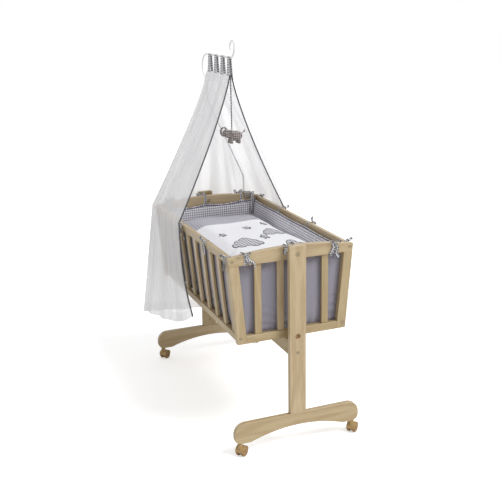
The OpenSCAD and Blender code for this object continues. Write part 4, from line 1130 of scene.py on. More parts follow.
def rim_line(points: Array, side: Array, along: Array, up: Array, sag: Array) -> Array:
    """A line along a pad's inner face, a little below its top.

    In each slice along the pad it takes the height of the slice's highest point less the sag there,
    and the depth of the inner face's point nearest to that height. Both are smoothed.

    Args:
        points: The pad's points.
        side: How far each point lies to the inside of the pad's middle.
        along: Direction that the slices follow each other in.
        up: Direction that counts as height.
        sag: How far the line lies below the top, one number a slice.

    Returns:
        The line's points, from one end to the other.
    """
    run, rise = points @ along, points @ up
    bins = len(sag)
    which = np.digitize(run, np.linspace(run.min(), run.max() + 1e-9, bins + 1)) - 1
    top = np.full(bins, -np.inf)
    np.maximum.at(top, which, rise)
    top = evened(top)
    miss = np.abs(rise - (top - sag)[which]) + (side < -0.0005)
    order = np.lexsort((-miss, which))
    near = order[np.searchsorted(which[order], np.arange(bins), side="right") - 1]
    depth = evened(side[near])
    inward = np.cross(along, up)
    inward = inward * np.sign(np.sum((points @ inward - np.mean(points @ inward)) * side))
    middle = np.mean(points[near] @ inward - side[near])
    centres = np.linspace(run.min() + 0.004, run.max() - 0.004, bins)
    return np.outer(centres, along) + np.outer(top - sag, up) + np.outer(depth + middle, inward)


@dataclass
class Bumpers:
    """Four padded liners inside the panels, grey outside and checked inside, with piping on top.

    The side ones are thin along Y and lean with their panel, the end ones are thin along X.
    """

    cell: float = 0.006
    inset: float = 0.0035
    cap: float = 0.0042
    piping: float = 0.0044
    piping_out: float = 0.0008
    sag: float = 0.013
    side_sag: float = 0.0040
    over: float = 0.0135
    end_over: float = 0.002
    play: float = 0.0006
    crease: float = 0.0036
    gather_pitch: float = 0.021
    gather_reach: tuple[float, float] = (0.045, 0.035)
    fold_pitch: float = 0.034
    slack_z: float = 0.05
    droop_reach: float = 0.15
    wide_span: float = 0.25
    seam: float = 0.0062
    end_cells: tuple[int, int] = (70, 48)
    side_cells: tuple[int, int] = (130, 48)
    piping_bins: tuple[int, int] = (60, 110)
    held: dict[str, tuple[float, ...]] = field(default_factory=lambda: {
        "head": (-0.205, -0.018, 0.158, 0.209), "foot": (-0.205, -0.018, 0.171, 0.209),
        "left": (-0.428, -0.092, 0.200, 0.428), "right": (-0.428, -0.170, 0.116, 0.428),
    })

    @staticmethod
    def at_end(name: str) -> bool:
        """Whether that bumper lines the head or the foot."""
        return name in ("head", "foot")

    def ways(self, name: str) -> tuple[Array, Array, Array]:
        """A bumper's directions: inward, along and up."""
        sign = 1.0 if name in ("foot", "right") else -1.0
        if self.at_end(name):
            return -sign * X_WAY, Y_WAY, Z_WAY
        c, s = math.cos(CRADLE.lean), math.sin(CRADLE.lean)
        return np.array([0, -sign * c, s]), X_WAY, np.array([0, sign * s, c])

    def filled(self, points: Array, block: Array, along: Array, up: Array, name: str) -> Array:
        """The pad's points stretched to its block again, and the side pads up behind their rail."""
        for way, more in ((along, 0.0), (up, self.end_over if self.at_end(name) else self.over)):
            now, room = points @ way, block @ way
            share = (now - now.min()) / np.ptp(now)
            wished = room.min() + self.play + share * (np.ptp(room) - 2 * self.play + more)
            points = points + np.outer(wished - now, way)
        return points

    def creased(self, points: Array, facing: Array, along: Array, up: Array, seed: float) -> Array:
        """Adds gathers that run in from the top and bottom seams, and slack folds low down.

        A gather's depth is a sine along the pad with a wandering rate, and dies out away from the seam.
        """
        run, rise = points @ along, points @ up
        low, high = rise.min(), rise.max()
        wander = 0.5 * np.sin(31 * run + seed) + 0.3 * np.sin(73 * run + 2.1 * seed)
        gather = np.sin(2 * np.pi * (run / self.gather_pitch + wander))
        reach_low, reach_high = self.gather_reach
        near = bell(rise - low, reach_low) + 0.7 * bell(rise - high, reach_high)
        folds = np.sin(2 * np.pi * ((rise - low) / self.fold_pitch + 0.35 * np.sin(17 * run + seed)))
        slack = bell(rise - low - self.slack_z, self.slack_z) * wave(23 * run + 3 * seed)
        puff = np.sin(9.0 * run + seed) * np.sin(np.pi * (rise - low) / (high - low))
        depth = 0.7 * (gather - 1) * near + 0.7 * (folds - 1) * slack + 0.35 * puff
        return points + facing * (self.crease * depth)[:, None]

    def drooped(self, points: Array, along: Array, up: Array, name: str) -> Array:
        """The pad's points with the top sagging between the ties: a sine from one to the next."""
        held = np.array(self.held[name])
        run, rise = points @ along, points @ up
        share = np.interp(run, held, np.arange(len(held)))
        span = np.diff(held)[np.minimum(share.astype(int), len(held) - 2)]
        most = self.sag if self.at_end(name) else self.side_sag
        sag = most * np.minimum(1, span / self.wide_span) * np.abs(np.sin(np.pi * share)) ** 1.2
        height = np.clip((rise - rise.max() + self.droop_reach) / self.droop_reach, 0, 1)
        return points - np.outer(sag * height**2 * (3 - 2 * height), up)

    def shapes(self, padding: Padding, finishes: Finishes) -> dict[str, bpy.types.Object]:
        """Makes the four covers and hands them to the simulation."""
        made = {}
        for name in self.held:
            thin, cells = (0, self.end_cells) if self.at_end(name) else (1, self.side_cells)
            surface = pad_shape(corners_of(f"{name}_bumper"), thin, cells)
            made[name] = surface.made(f"{name}_bumper_pad", finishes.bumper)
            welded(made[name])
            padding.add(made[name], self.cell, self.inset, self.cap)
        return made

    def finished(self, made: dict[str, bpy.types.Object], finishes: Finishes) -> None:
        for name, cover in made.items():
            inward, along, up = self.ways(name)
            block = corners_of(f"{name}_bumper").reshape(-1, 3)
            points = self.filled(coordinates(cover.data), block, along, up, name)
            seed = 1.0 if name in ("foot", "right") else -1.0
            points = self.creased(points, normals(cover.data), along, up, seed)
            set_coordinates(cover.data, self.drooped(points, along, up, name))
            points = coordinates(cover.data)
            side = points @ inward
            side = side - (side.min() + side.max()) / 2
            set_numbers(cover.data, "face_side", side)
            flat_coordinates(cover.data, along, up)
            rounded(cover)
            bins = self.piping_bins[0 if self.at_end(name) else 1]
            line = rim_line(points, side, along, up, np.full(bins, self.seam))
            cord = sweep(line + inward * self.piping_out, oval(self.piping, self.piping, 10), inward)
            declared(cover, "cradle", f"{name}_bumper")
            declared(cord.made(f"{name}_bumper_piping", finishes.piping), "cradle")


@dataclass
class Duvet:
    """A full white duvet with a checked head band and a few sewn-on clouds and stars."""

    band_x: float = -0.17
    head_z: float = 0.722
    foot_z: float = 0.750
    edge: float = 0.060
    base_z: float = 0.4848
    half_x: float = 0.4287
    bumper_t: float = 0.0178
    room: float = 0.0015
    cells: int = 72
    cell: float = 0.008
    slack: float = 0.05
    inset: float = 0.005
    cap: float = 0.006
    ripple: float = 0.004
    seam: tuple[float, float] = (0.0045, 0.006)
    puff: tuple[float, float] = (0.002, 0.016)
    puff_from_seam: float = 0.02
    lengthen: float = 1.7
    stitching: float = 0.0032
    laid_from: float = 0.80

    def reach(self, z: Array) -> Array:
        """Half the room between the side bumpers at a height."""
        lean = math.cos(CRADLE.lean)
        return CRADLE.half_width(z) - CRADLE.side_in - CRADLE.side_t / lean - self.bumper_t / lean - self.room

    def top(self, u: Array, v: Array) -> Array:
        """Height of the top: it rises to the foot and falls away in a round at the edges."""
        round_off = np.sqrt(np.maximum(0, 1 - np.abs(u) ** 5)) * np.sqrt(np.maximum(0, 1 - np.abs(v) ** 5))
        crown = self.head_z + (self.foot_z - self.head_z) * (u + 1) / 2
        ripple = self.ripple * np.sin(5.1 * u + 2.2 * v) * np.cos(3.3 * v - 1.4 * u)
        return crown - self.edge * (1 - round_off) + ripple * round_off

    def shape(self, padding: Padding, finishes: Finishes) -> bpy.types.Object:
        """The closed cover: a top sheet and a flat base, with a wall between their edges."""
        n = self.cells + 1
        turn = np.linspace(-np.pi / 2, np.pi / 2, n)
        u, v = np.meshgrid(np.sin(turn), np.sin(turn), indexing="ij")
        upper, lower = (together(u * self.half_x, v * self.reach(z), z)
                        for z in (self.top(u, v), np.full_like(u, self.base_z)))
        numbers = np.arange(n * n).reshape(n, n)
        rim = np.concatenate([numbers[0], numbers[1:, -1], numbers[-1, -2::-1], numbers[-2:0:-1, 0]])
        wall = np.stack([sheet.reshape(-1, 3)[rim] for sheet in (upper, lower)])
        sheets = [grid(upper), grid(lower), grid(wall, wrap=True)]
        cover = Surface.joined(sheets).made("duvet_cover", finishes.duvet)
        welded(cover)
        padding.add(cover, self.cell, self.inset, self.cap, self.slack)
        return cover

    def finished(self, cover: bpy.types.Object, finishes: Finishes) -> None:
        mesh = cover.data
        points = coordinates(mesh)
        on_top = normals(mesh)[:, 2] > 0.3
        past_band = points[:, 0] - self.band_x
        (dip, dip_w), (puff, puff_w) = self.seam, self.puff
        points[:, 2] -= dip * (bell(past_band, dip_w) * on_top)
        points[:, 2] += puff * (bell(past_band - self.puff_from_seam, puff_w) * on_top)
        set_coordinates(mesh, points)
        set_numbers(mesh, "face_side", points[:, 0])
        flat_coordinates(mesh, X_WAY, Y_WAY)
        rounded(cover)
        declared(cover, "cradle", "duvet")
        self.patches(cover, finishes)

    @staticmethod
    def cloud(turn: Array) -> Array:
        """Outline of a cloud: the farthest of six round puffs in each direction."""
        puffs = np.array([[0.10, 0.26, 0.44], [0.52, -0.02, 0.36], [-0.40, 0.08, 0.32], [0.86, -0.20, 0.20],
                          [-0.78, -0.18, 0.22], [0.0, -0.10, 0.30]])
        along = puffs[:, :2] @ np.stack([np.cos(turn), np.sin(turn)])
        off = (puffs[:, :2] ** 2).sum(1)[:, None] - along**2
        return (along + np.sqrt(np.maximum(puffs[:, 2:] ** 2 - off, 0))).max(0)

    @staticmethod
    def star(turn: Array) -> Array:
        """Outline of a soft five-pointed star."""
        return 0.72 + 0.28 * np.cos(5 * (turn - np.pi / 2)) ** 3

    @staticmethod
    def moon(turn: Array) -> Array:
        """Outline of a plump half moon: a disc with a bite out of one side."""
        return 1.0 - 0.62 * bell(np.angle(np.exp(1j * (turn - 0.5))), 0.75)

    def patch(self, reach: Array, turn: Array, x: float, y: float, tilt: float) -> list[Surface]:
        """One patch above the duvet: a disc grid drawn out to its outline, then its stitched edge.

        Args:
            reach: Distance of the outline from the patch's middle, for each angle.
            turn: The angles.
            x: Place of the middle along the cradle.
            y: Place of the middle across it.
            tilt: The angle that the patch is turned by.

        Returns:
            The cloth and the stitching, which are parts 0 and 1 of the finish.
        """
        inner = 1 - self.stitching / np.maximum(reach, 0.008)
        edge = np.ones_like(turn)
        shares = np.stack([0.02 * edge, 0.35 * inner, 0.65 * inner, 0.88 * inner, inner, 0.5 + 0.5 * inner,
                           edge, edge])
        lift = np.array([1.6, 1.6, 1.6, 1.5, 1.0, 1.9, 0.5, -2.0])[:, None] * 1e-3
        side, up = shares * reach * np.cos(turn), shares * reach * np.sin(turn)
        ahead = -(up * math.cos(tilt) + side * math.sin(tilt)) * self.lengthen
        across = side * math.cos(tilt) - up * math.sin(tilt)
        points = together(ahead + x, across + y, self.laid_from + lift)
        return [grid(points[rows][::-1], wrap=True, capped=not slot, slot=slot)
                for slot, rows in enumerate((slice(0, 5), slice(4, 8)))]

    def patches(self, cover: bpy.types.Object, finishes: Finishes) -> None:
        """Flat patches with a stitched edge, dropped onto the duvet."""
        motifs = [(self.cloud, 0.09, 0.085, 0.052, 0.10), (self.cloud, 0.20, -0.075, 0.060, -0.12),
                  (self.moon, 0.29, 0.105, 0.040, 0.3), (self.star, 0.16, 0.020, 0.021, 0.2),
                  (self.star, -0.03, 0.02, 0.019, 0.9), (self.star, -0.08, 0.115, 0.016, 0.5),
                  (self.star, 0.04, -0.115, 0.017, 0.4), (self.star, 0.345, 0.02, 0.019, 0.1)]
        turn = turns(120)
        parts = [part for outline, x, y, size, tilt in motifs
                 for part in self.patch(outline(turn) * size, turn, x, y, tilt)]
        patch = Surface.joined(parts).made("duvet_patches", finishes.patch, finishes.outline)
        welded(patch)
        lifts = coordinates(patch.data)[:, 2] - self.laid_from
        wrap = patch.modifiers.new("laid", "SHRINKWRAP")
        wrap.target, wrap.wrap_method, wrap.use_project_z = cover, "PROJECT", True
        wrap.use_negative_direction, wrap.use_positive_direction = True, False
        baked(patch)
        points = coordinates(patch.data)
        points[:, 2] += lifts
        set_coordinates(patch.data, points)
        flat_coordinates(patch.data, X_WAY / self.lengthen, Y_WAY)
        declared(patch, "cradle")


@dataclass
class Mattress:
    """A thin firm mattress on the slats, with an overlocked seam."""

    clearance: float = 0.0014
    seam: float = 0.0012

    def built(self, finishes: Finishes) -> None:
        """A block with round edges and a seam round its middle."""
        low, high = (np.array(c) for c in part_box("mattress"))
        middle, half = (low + high) / 2, (high - low) / 2
        turn = turns(160)
        tilt = np.linspace(-np.pi / 2 + 0.01, np.pi / 2 - 0.01, 25)[:, None]
        girth = np.abs(np.cos(tilt)) ** 0.25
        seam = self.seam * bell(tilt, 0.12)
        x, y = (middle[k] + (half[k] - self.clearance) * girth * boxed(way, 16) + seam * way
                for k, way in enumerate((np.cos(turn), np.sin(turn))))
        z = middle[2] + half[2] * boxed(np.sin(tilt), 3)
        made = grid(together(x, y, z), wrap=True, capped=True).made("mattress_pad", finishes.ticking)
        flat_coordinates(made.data, (1, 0, 0.3), (0, 1, 0.3))
        declared(made, "cradle", "mattress")


# ------------------------------------------------------------------ canopy


@dataclass
class Canopy:
    """The sheer canopy: its sheet, bindings, hanging tabs and the rod that carries it."""

    top_z: float = 1.362
    rail_z: float = CRADLE.top_z
    hem_z: float = 0.205
    hem_rise: float = 0.212
    hem_slope: float = 0.150
    left: float = 0.251
    right: float = 0.302
    sweep_x: float = 0.164
    back_top: float = -0.412
    back_rail: float = -0.545
    front_top: float = -0.128
    front_rail: tuple[float, float] = (-0.103, -0.182)
    flare: tuple[float, float] = (0.11, 0.02)
    corner: float = 0.36
    bend: tuple[float, float] = (0.008, 0.052)
    tuck: float = 0.02
    billow: float = 0.025
    gap: float = 0.0028
    cloth_off: float = 0.003
    inset: float = 0.0015
    arm_z: float = 1.431
    rod_r: float = 0.003
    rows: tuple[int, int] = (64, 46)
    cols: int = 340
    trims: tuple[float, float] = (0.0115, 0.0130)
    trim_t: float = 0.0034
    tab_w: float = 0.0325
    tab_t: float = 0.0012
    tabs: tuple[float, ...] = (-0.375, -0.297, -0.219, -0.141)
    route: tuple[tuple[float, float, float], ...] = (
        (-0.484, 0.186, 0.746), (-0.484, 0.186, 0.800), (-0.484, 0.186, 0.850), (-0.481, 0.179, 0.874),
        (-0.460, 0.107, 1.020), (-0.446, 0.056, 1.120), (-0.433, 0.010, 1.214), (-0.428, 0, 1.246),
        (-0.428, 0, 1.300), (-0.442, 0, 1.328), (-0.472, 0, 1.350), (-0.481, 0, 1.378),
        (-0.472, 0, 1.406), (-0.450, 0, 1.424), (-0.420, 0, 1.431), (-0.412, 0, 1.431),
        (-0.260, 0, 1.431), (-0.124, 0, 1.431), (-0.121, 0, 1.431), (-0.104, 0, 1.438),
        (-0.088, 0, 1.455), (-0.081, 0, 1.474), (-0.085, 0, 1.491), (-0.100, 0, 1.499),
        (-0.119, 0, 1.493), (-0.131, 0, 1.477), (-0.126, 0, 1.461),
    )

    def point(self, s: Array, z: Array) -> Array:
        """Points of the sheet.

        From the back's middle the section runs round a quarter ellipse and then straight to the front
        edge. Its width and its front edge open out from the top edge to the rail, hang and flare below
        it, the right side bulges between its back and its edge, and soft folds stand outwards.

        Args:
            s: From the left edge (-1) round the back (0) to the right edge (1).
            z: Height.

        Returns:
            The points, with a last axis of three.
        """
        a, left = np.abs(s), s < 0
        drop = np.minimum(1, (self.top_z - z) / (self.top_z - self.rail_z))
        under = np.maximum(0, self.rail_z - z)
        phi = np.pi / 2 * np.minimum(1, a / self.corner)
        along = np.maximum(0, (a - self.corner) / (1 - self.corner))
        width = np.where(left, self.left * drop**1.2, self.right * drop**0.9)
        billow = self.billow * np.sqrt(np.maximum(0, np.sin(np.pi * drop)))
        bulge = np.where(left, 0.0, billow) * np.sin(np.pi * along)
        back = self.back_top + (self.back_rail - self.back_top) * drop - self.tuck * under
        bend = self.bend[0] + self.bend[1] * drop - self.tuck * under
        hang = np.minimum(1, under / (self.rail_z - self.hem_z - self.hem_rise))
        forward = self.sweep_x * (0.25 * hang + 0.75 * hang**3)
        front = self.front_top + (np.where(left, *self.front_rail) - self.front_top) * drop + forward
        draw = np.where(left, 1.0, 0.835 * np.maximum(drop, 0.01) ** 0.35)
        narrow = 1 - (1 - draw) * along**2
        flare = under * (self.flare[0] + (self.flare[1] - self.flare[0]) * along)
        fold = self.folds(s, drop, under) * (1 - a**8) - self.inset
        corner_x = back + bend * (1 - np.cos(phi))
        x = corner_x + (front - corner_x) * along - fold * np.cos(phi)
        out = self.gap + self.cloth_off + width * narrow + bulge + flare + fold
        y = np.where(left, -1.0, 1.0) * np.sin(phi) * out
        return together(x, y, z)

    @staticmethod
    def folds(s: Array, drop: Array, under: Array) -> Array:
        """How far the cloth's folds stand out: broad ones, and finer ones that start at the top edge."""
        turn = 2 * np.pi
        broad = 0.0065 * drop**0.8 * wave(turn * (4.5 * s + 0.2 * np.sin(3 * drop)) + np.pi / 2)
        ripple = np.sin(turn * (7.3 * s + 0.35 * np.sin(5 * s + 1.0)) + 0.8 * drop)
        fine = np.sin(turn * (17.0 * s + 0.6 * np.sin(4.1 * s)) + 2.0)
        depth = np.where(s < 0, 0.0048, 0.0075) * drop**0.7 + 0.012 * np.minimum(under, 0.5)
        pleat = 0.0022 * np.exp(-drop / 0.10) * np.minimum(1, drop / 0.02) * wave(turn * 31 * s)
        return broad + depth * (0.5 + 0.5 * ripple) + 0.22 * depth * (0.5 + 0.5 * fine) + pleat

    def hem(self, a: Array) -> Array:
        """Height of the hem, from the back (0) to a front edge (1)."""
        return self.hem_z + self.hem_slope * a + (self.hem_rise - self.hem_slope) * a**8

    def sheet(self, finishes: Finishes) -> bpy.types.Object:
        """The sheet itself. Its cloth coordinates are the way round the rail and the height above the hem."""
        s = np.linspace(-1, 1, self.cols + 1)[None]
        upper = self.top_z + (self.rail_z - self.top_z) * np.linspace(0, 1, self.rows[0] + 1)[:-1, None]
        share = np.linspace(0, 1, self.rows[1] + 1)[:, None]
        lower = self.rail_z + (self.hem(np.abs(s)) - self.rail_z) * share
        z = np.vstack([upper + 0 * s, lower])
        points = self.point(s, z)
        step = np.linalg.norm(np.diff(points, axis=0), axis=2)
        above = np.vstack([np.cumsum(step[::-1], 0)[::-1], np.zeros((1, points.shape[1]))])
        sheet = grid(points, lengths_along(points[self.rows[0]]), above)
        a, b, c, d = (sheet.points[sheet.faces[0][:, k]] for k in range(4))
        area = 0.5 * np.linalg.norm(np.cross(c - a, d - b), axis=1).sum()
        LOG.info("canopy sheet %.3f m2", area)
        return sheet.made("canopy_sheet", finishes.voile)

    def bindings(self, finishes: Finishes) -> bpy.types.Object:
        """Narrow folded tapes along the two front edges, wider below the rail."""
        parts = []
        for side, trim in zip((-1.0, 1.0), self.trims):
            z = np.linspace(self.top_z, float(self.hem(np.array(1.0))), 150)
            path = self.point(np.full(len(z), side), z)
            low = np.clip((self.rail_z + 0.05 - path[:, 2]) / 0.20, 0, 1)
            section = oval(1.0, self.trim_t, 12, 3)
            parts.append(sweep(path, section, widen=together(trim * (1 + 0.45 * low), 1)))
        return Surface.joined(parts).made("canopy_bindings", finishes.binding)

    def rod(self, finishes: Finishes) -> bpy.types.Object:
        """The bent rod: a round section along its smooth route, with a rounded tip."""
        path = smooth_route(np.array(self.route), 10)
        run = lengths_along(path)
        left = np.clip((run[-1] - run) / self.rod_r, 0.02, 1)
        tip = np.sqrt(left * (2 - left))
        tube = sweep(path, oval(2 * self.rod_r, 2 * self.rod_r, 16), Y_WAY, together(tip, tip))
        return tube.made("canopy_rod_tube", finishes.coat)

    def tab(self, x: float) -> Surface:
        """A loop of check cloth over the arm, its two legs sewn to the canopy's top edge."""
        r = self.rod_r + 0.0014
        turn = np.linspace(0, np.pi, 15)
        foot = self.top_z - 0.003
        leg = np.linspace(foot, self.arm_z, 16)
        spread = np.interp(leg, [foot, self.top_z, self.arm_z - 0.02, self.arm_z], [0.0072, 0.0070, r, r])
        path = np.vstack([together(x, spread, leg)[:-1],
                          together(x, r * np.cos(turn), self.arm_z + r * np.sin(turn)),
                          together(x, -spread, leg)[::-1][1:]])
        height = np.clip((path[:, 2] - self.top_z) / (self.arm_z - self.top_z), 0, 1)
        section = oval(self.tab_w, self.tab_t, 22, 6)
        return sweep(path, section, widen=together(1.0 - 0.20 * height**1.5, 1))

    def built(self, finishes: Finishes) -> None:
        declared(self.rod(finishes), "cradle", "canopy_rod")
        cloth = self.sheet(finishes)
        declared(cloth, "cradle", "canopy")
        trim = self.bindings(finishes)
        declared(trim, "cradle")
        tabs = Surface.joined([self.tab(x) for x in self.tabs]).made("canopy_tab_loops", finishes.tab_cloth)
        declared(tabs, "cradle", "canopy_tabs")


# ------------------------------------------------------------------ ribbons


Tie = tuple[float, float, float]


@dataclass
class Ties:
    """Ribbon bands round the rails, each with a bow on its outside.

    A tie is its place along the rail, how far its knot lies beside that, and its longer tail.
    """

    width: float = 0.0112
    cloth: float = 0.0009
    packed_half_width: float = 0.006
    band_room: float = 0.0008
    off: float = 0.0012
    above: float = 0.0004
    ends: dict[str, tuple[Tie, ...]] = field(default_factory=lambda: {
        "head": ((-0.186, 0.0, 0.028), (-0.018, -0.008, 0.03), (0.158, -0.008, 0.03)),
        "foot": ((-0.186, 0.0, 0.060), (-0.018, -0.008, 0.030), (0.171, 0.0, 0.062)),
    })
    sides: dict[str, tuple[Tie, ...]] = field(default_factory=lambda: {
        "left": ((-0.092, 0.012, 0.055), (0.200, 0.0, 0.060), (0.437, -0.012, 0.075)),
        "right": ((-0.437, 0.010, 0.03), (-0.170, 0.016, 0.03), (0.116, 0.0, 0.03), (0.437, -0.012, 0.04)),
    })

    def ribbon(self, path: Array, across: Array = X_WAY, widen: Array | None = None,
               closed: bool = False) -> Surface:
        """The ribbon's section carried along a path."""
        return sweep(path, oval(self.width, self.cloth, 12, 5), across, widen, closed)

    def band(self, w: float, h: float) -> Surface:
        """A closed band round a rail's section, w wide and h high below the origin."""
        turn = turns(64)
        w2, h2 = w / 2 + self.band_room, h / 2 + self.band_room
        path = together(0, w2 * boxed(np.cos(turn), 9), -h / 2 + h2 * boxed(np.sin(turn), 9))
        return self.ribbon(path, closed=True)

    def loop(self, side: int, seed: float) -> Surface:
        """One loop of a bow: an open teardrop that rises or droops from the knot and bulges off the rail."""
        turn = np.linspace(0.12, 2 * np.pi - 0.12, 36)
        reach = (1 - np.cos(turn)) / 2
        long, rise = 0.0185 + 0.003 * math.sin(2.3 * seed), 0.30 + 0.45 * math.sin(1.7 * seed + side)
        opened = 0.0052 * np.sin(turn) * (0.35 + 0.65 * reach)
        path = together(side * (0.0015 + long * reach) - side * rise * opened,
                        0.0042 + 0.0030 * reach - 0.0016 * np.sin(turn),
                        0.001 + rise * long * reach + opened)
        tilt = together(0.2 * side * reach, 0.75, 0.65 + 0.2 * np.sin(turn))
        return self.ribbon(path, tilt, together(0.50 + 0.50 * reach, 1))

    def tail(self, side: int, length: float, seed: float) -> Surface:
        """One hanging end: it leaves the knot sideways, then hangs and curls, twisting as it goes."""
        q = np.linspace(0, 1, 34)
        lead = (0.16 * side + 0.34 * math.sin(seed + 0.6)) * length * q**0.8
        curl = 0.085 * length * np.sin(2.6 * np.pi * q + seed) * np.minimum(1, 2.5 * q)
        out = 0.0034 + 0.0020 * np.sin(np.pi * q) + 0.0016 * (1 + np.sin(5 * q + seed)) * q
        path = together(side * 0.002 + lead + curl, out, -length * q**1.1)
        turned = 0.75 * np.sin(3.1 * q + 1.3 * seed) * np.minimum(1, 2 * q)
        across = together(np.cos(turned), np.sin(turned), 0.3 * side)
        return self.ribbon(path, across, together(0.50 + 0.50 * np.minimum(1, q * 2.2), 1))

    def corner_tie(self) -> list[Surface]:
        """Two ends that hang inside the corner where the head and the right bumper meet."""
        route = np.array([[-0.4420, 0.2160, 0.7930], [-0.4340, 0.2110, 0.7880], [-0.4262, 0.2052, 0.7740],
                          [-0.4242, 0.2036, 0.7560], [-0.4238, 0.2024, 0.7350], [-0.4236, 0.2012, 0.7120],
                          [-0.4246, 0.2008, 0.6960]])
        across = unit(np.array([0.6, 0.8, 0.0]))
        parts = []
        for shift, shorter in ((0.0, 0.0), (0.0085, 0.010)):
            path = smooth_route(route + [shift, -0.3 * shift, 0.0], 6)
            parts.append(self.ribbon(path[path[:, 2] > path[-1, 2] + shorter], across))
        return parts

    def bow(self, length: float, seed: float) -> Surface:
        """Knot, two loops and two tails against a face, drawn along X, outwards Y and up Z."""
        knot = ball((0, 0.0045, 0.0), (0.0040, 0.0034, 0.0050), 12, 18)
        whole = Surface.joined([knot, self.loop(-1, seed), self.loop(1, seed + 1.3),
                                self.tail(-1, length * 0.72, seed), self.tail(1, length, seed + 0.9)])
        lean = 0.30 * math.sin(1.9 * seed + 0.5)
        c, s = math.cos(lean), math.sin(lean)
        return whole.moved(np.zeros(3), np.array([[c, 0, s], Y_WAY, [-s, 0, c]]))

    def tied(self, at: Array, axes: Array, rail: tuple[float, float], tie: Tie, seed: float) -> list[Surface]:
        """A band and its bow.

        Args:
            at: Middle of the rail's top at the tie.
            axes: Directions along the rail, outwards and up.
            rail: The rail's thickness and height there.
            tie: The tie.
            seed: Number that sets how the bow lies.

        Returns:
            The two surfaces.
        """
        knot = at + axes[1] * (rail[0] / 2 + self.off) + axes[0] * tie[1]
        return [self.band(*rail).moved(at, axes), self.bow(tie[2], seed).moved(knot, axes)]

    def end_ties(self) -> list[Surface]:
        """The ties on the arched top rails of the head and the foot."""
        parts = []
        arch_r = (CRADLE.top_half**2 + CRADLE.arch**2) / (2 * CRADLE.arch)
        for name, sign in (("head", -1.0), ("foot", 1.0)):
            axes = np.array([Y_WAY, sign * X_WAY, Z_WAY])
            for k, tie in enumerate(self.ends[name]):
                sagitta = math.sqrt(arch_r**2 - (abs(tie[0]) - self.packed_half_width) ** 2)
                top = CRADLE.top_z + CRADLE.arch - arch_r + sagitta
                at = np.array([sign * CRADLE.end_mid_x, tie[0], top + self.above])
                rail = (CRADLE.end_t, top - CRADLE.end_rail_low_z)
                parts += self.tied(at, axes, rail, tie, 1.7 * k + sign)
        return parts

    def side_ties(self) -> list[Surface]:
        """The ties on the leaning top rails of the sides."""
        parts = []
        c, s = math.cos(CRADLE.lean), math.sin(CRADLE.lean)
        low_z = CRADLE.bottom_z + CRADLE.side_low
        low_y = CRADLE.bottom_half + CRADLE.widening * CRADLE.side_low / CRADLE.height - CRADLE.side_in
        high = (CRADLE.top_z - low_z) / c
        for name, sign in (("left", -1.0), ("right", 1.0)):
            out, up = np.array([0, sign * c, -s]), np.array([0, sign * s, c])
            axes = np.stack([X_WAY, out, up])
            for k, tie in enumerate(self.sides[name]):
                low = np.array([tie[0], sign * low_y, low_z])
                at = low - out * CRADLE.side_t / 2 + up * (high + self.above)
                rail = (CRADLE.side_t, CRADLE.side_rail_h)
                parts += self.tied(at, axes, rail, tie, 2.3 * k + 0.6 * sign)
        return parts

    def built(self, finishes: Finishes) -> None:
        """Joins every tie to one piece."""
        parts = self.corner_tie() + self.end_ties() + self.side_ties()
        made = Surface.joined(parts).made("tie_ribbons", finishes.ribbon)
        declared(made, "cradle", "tie_bows")


# ------------------------------------------------------------------ toy


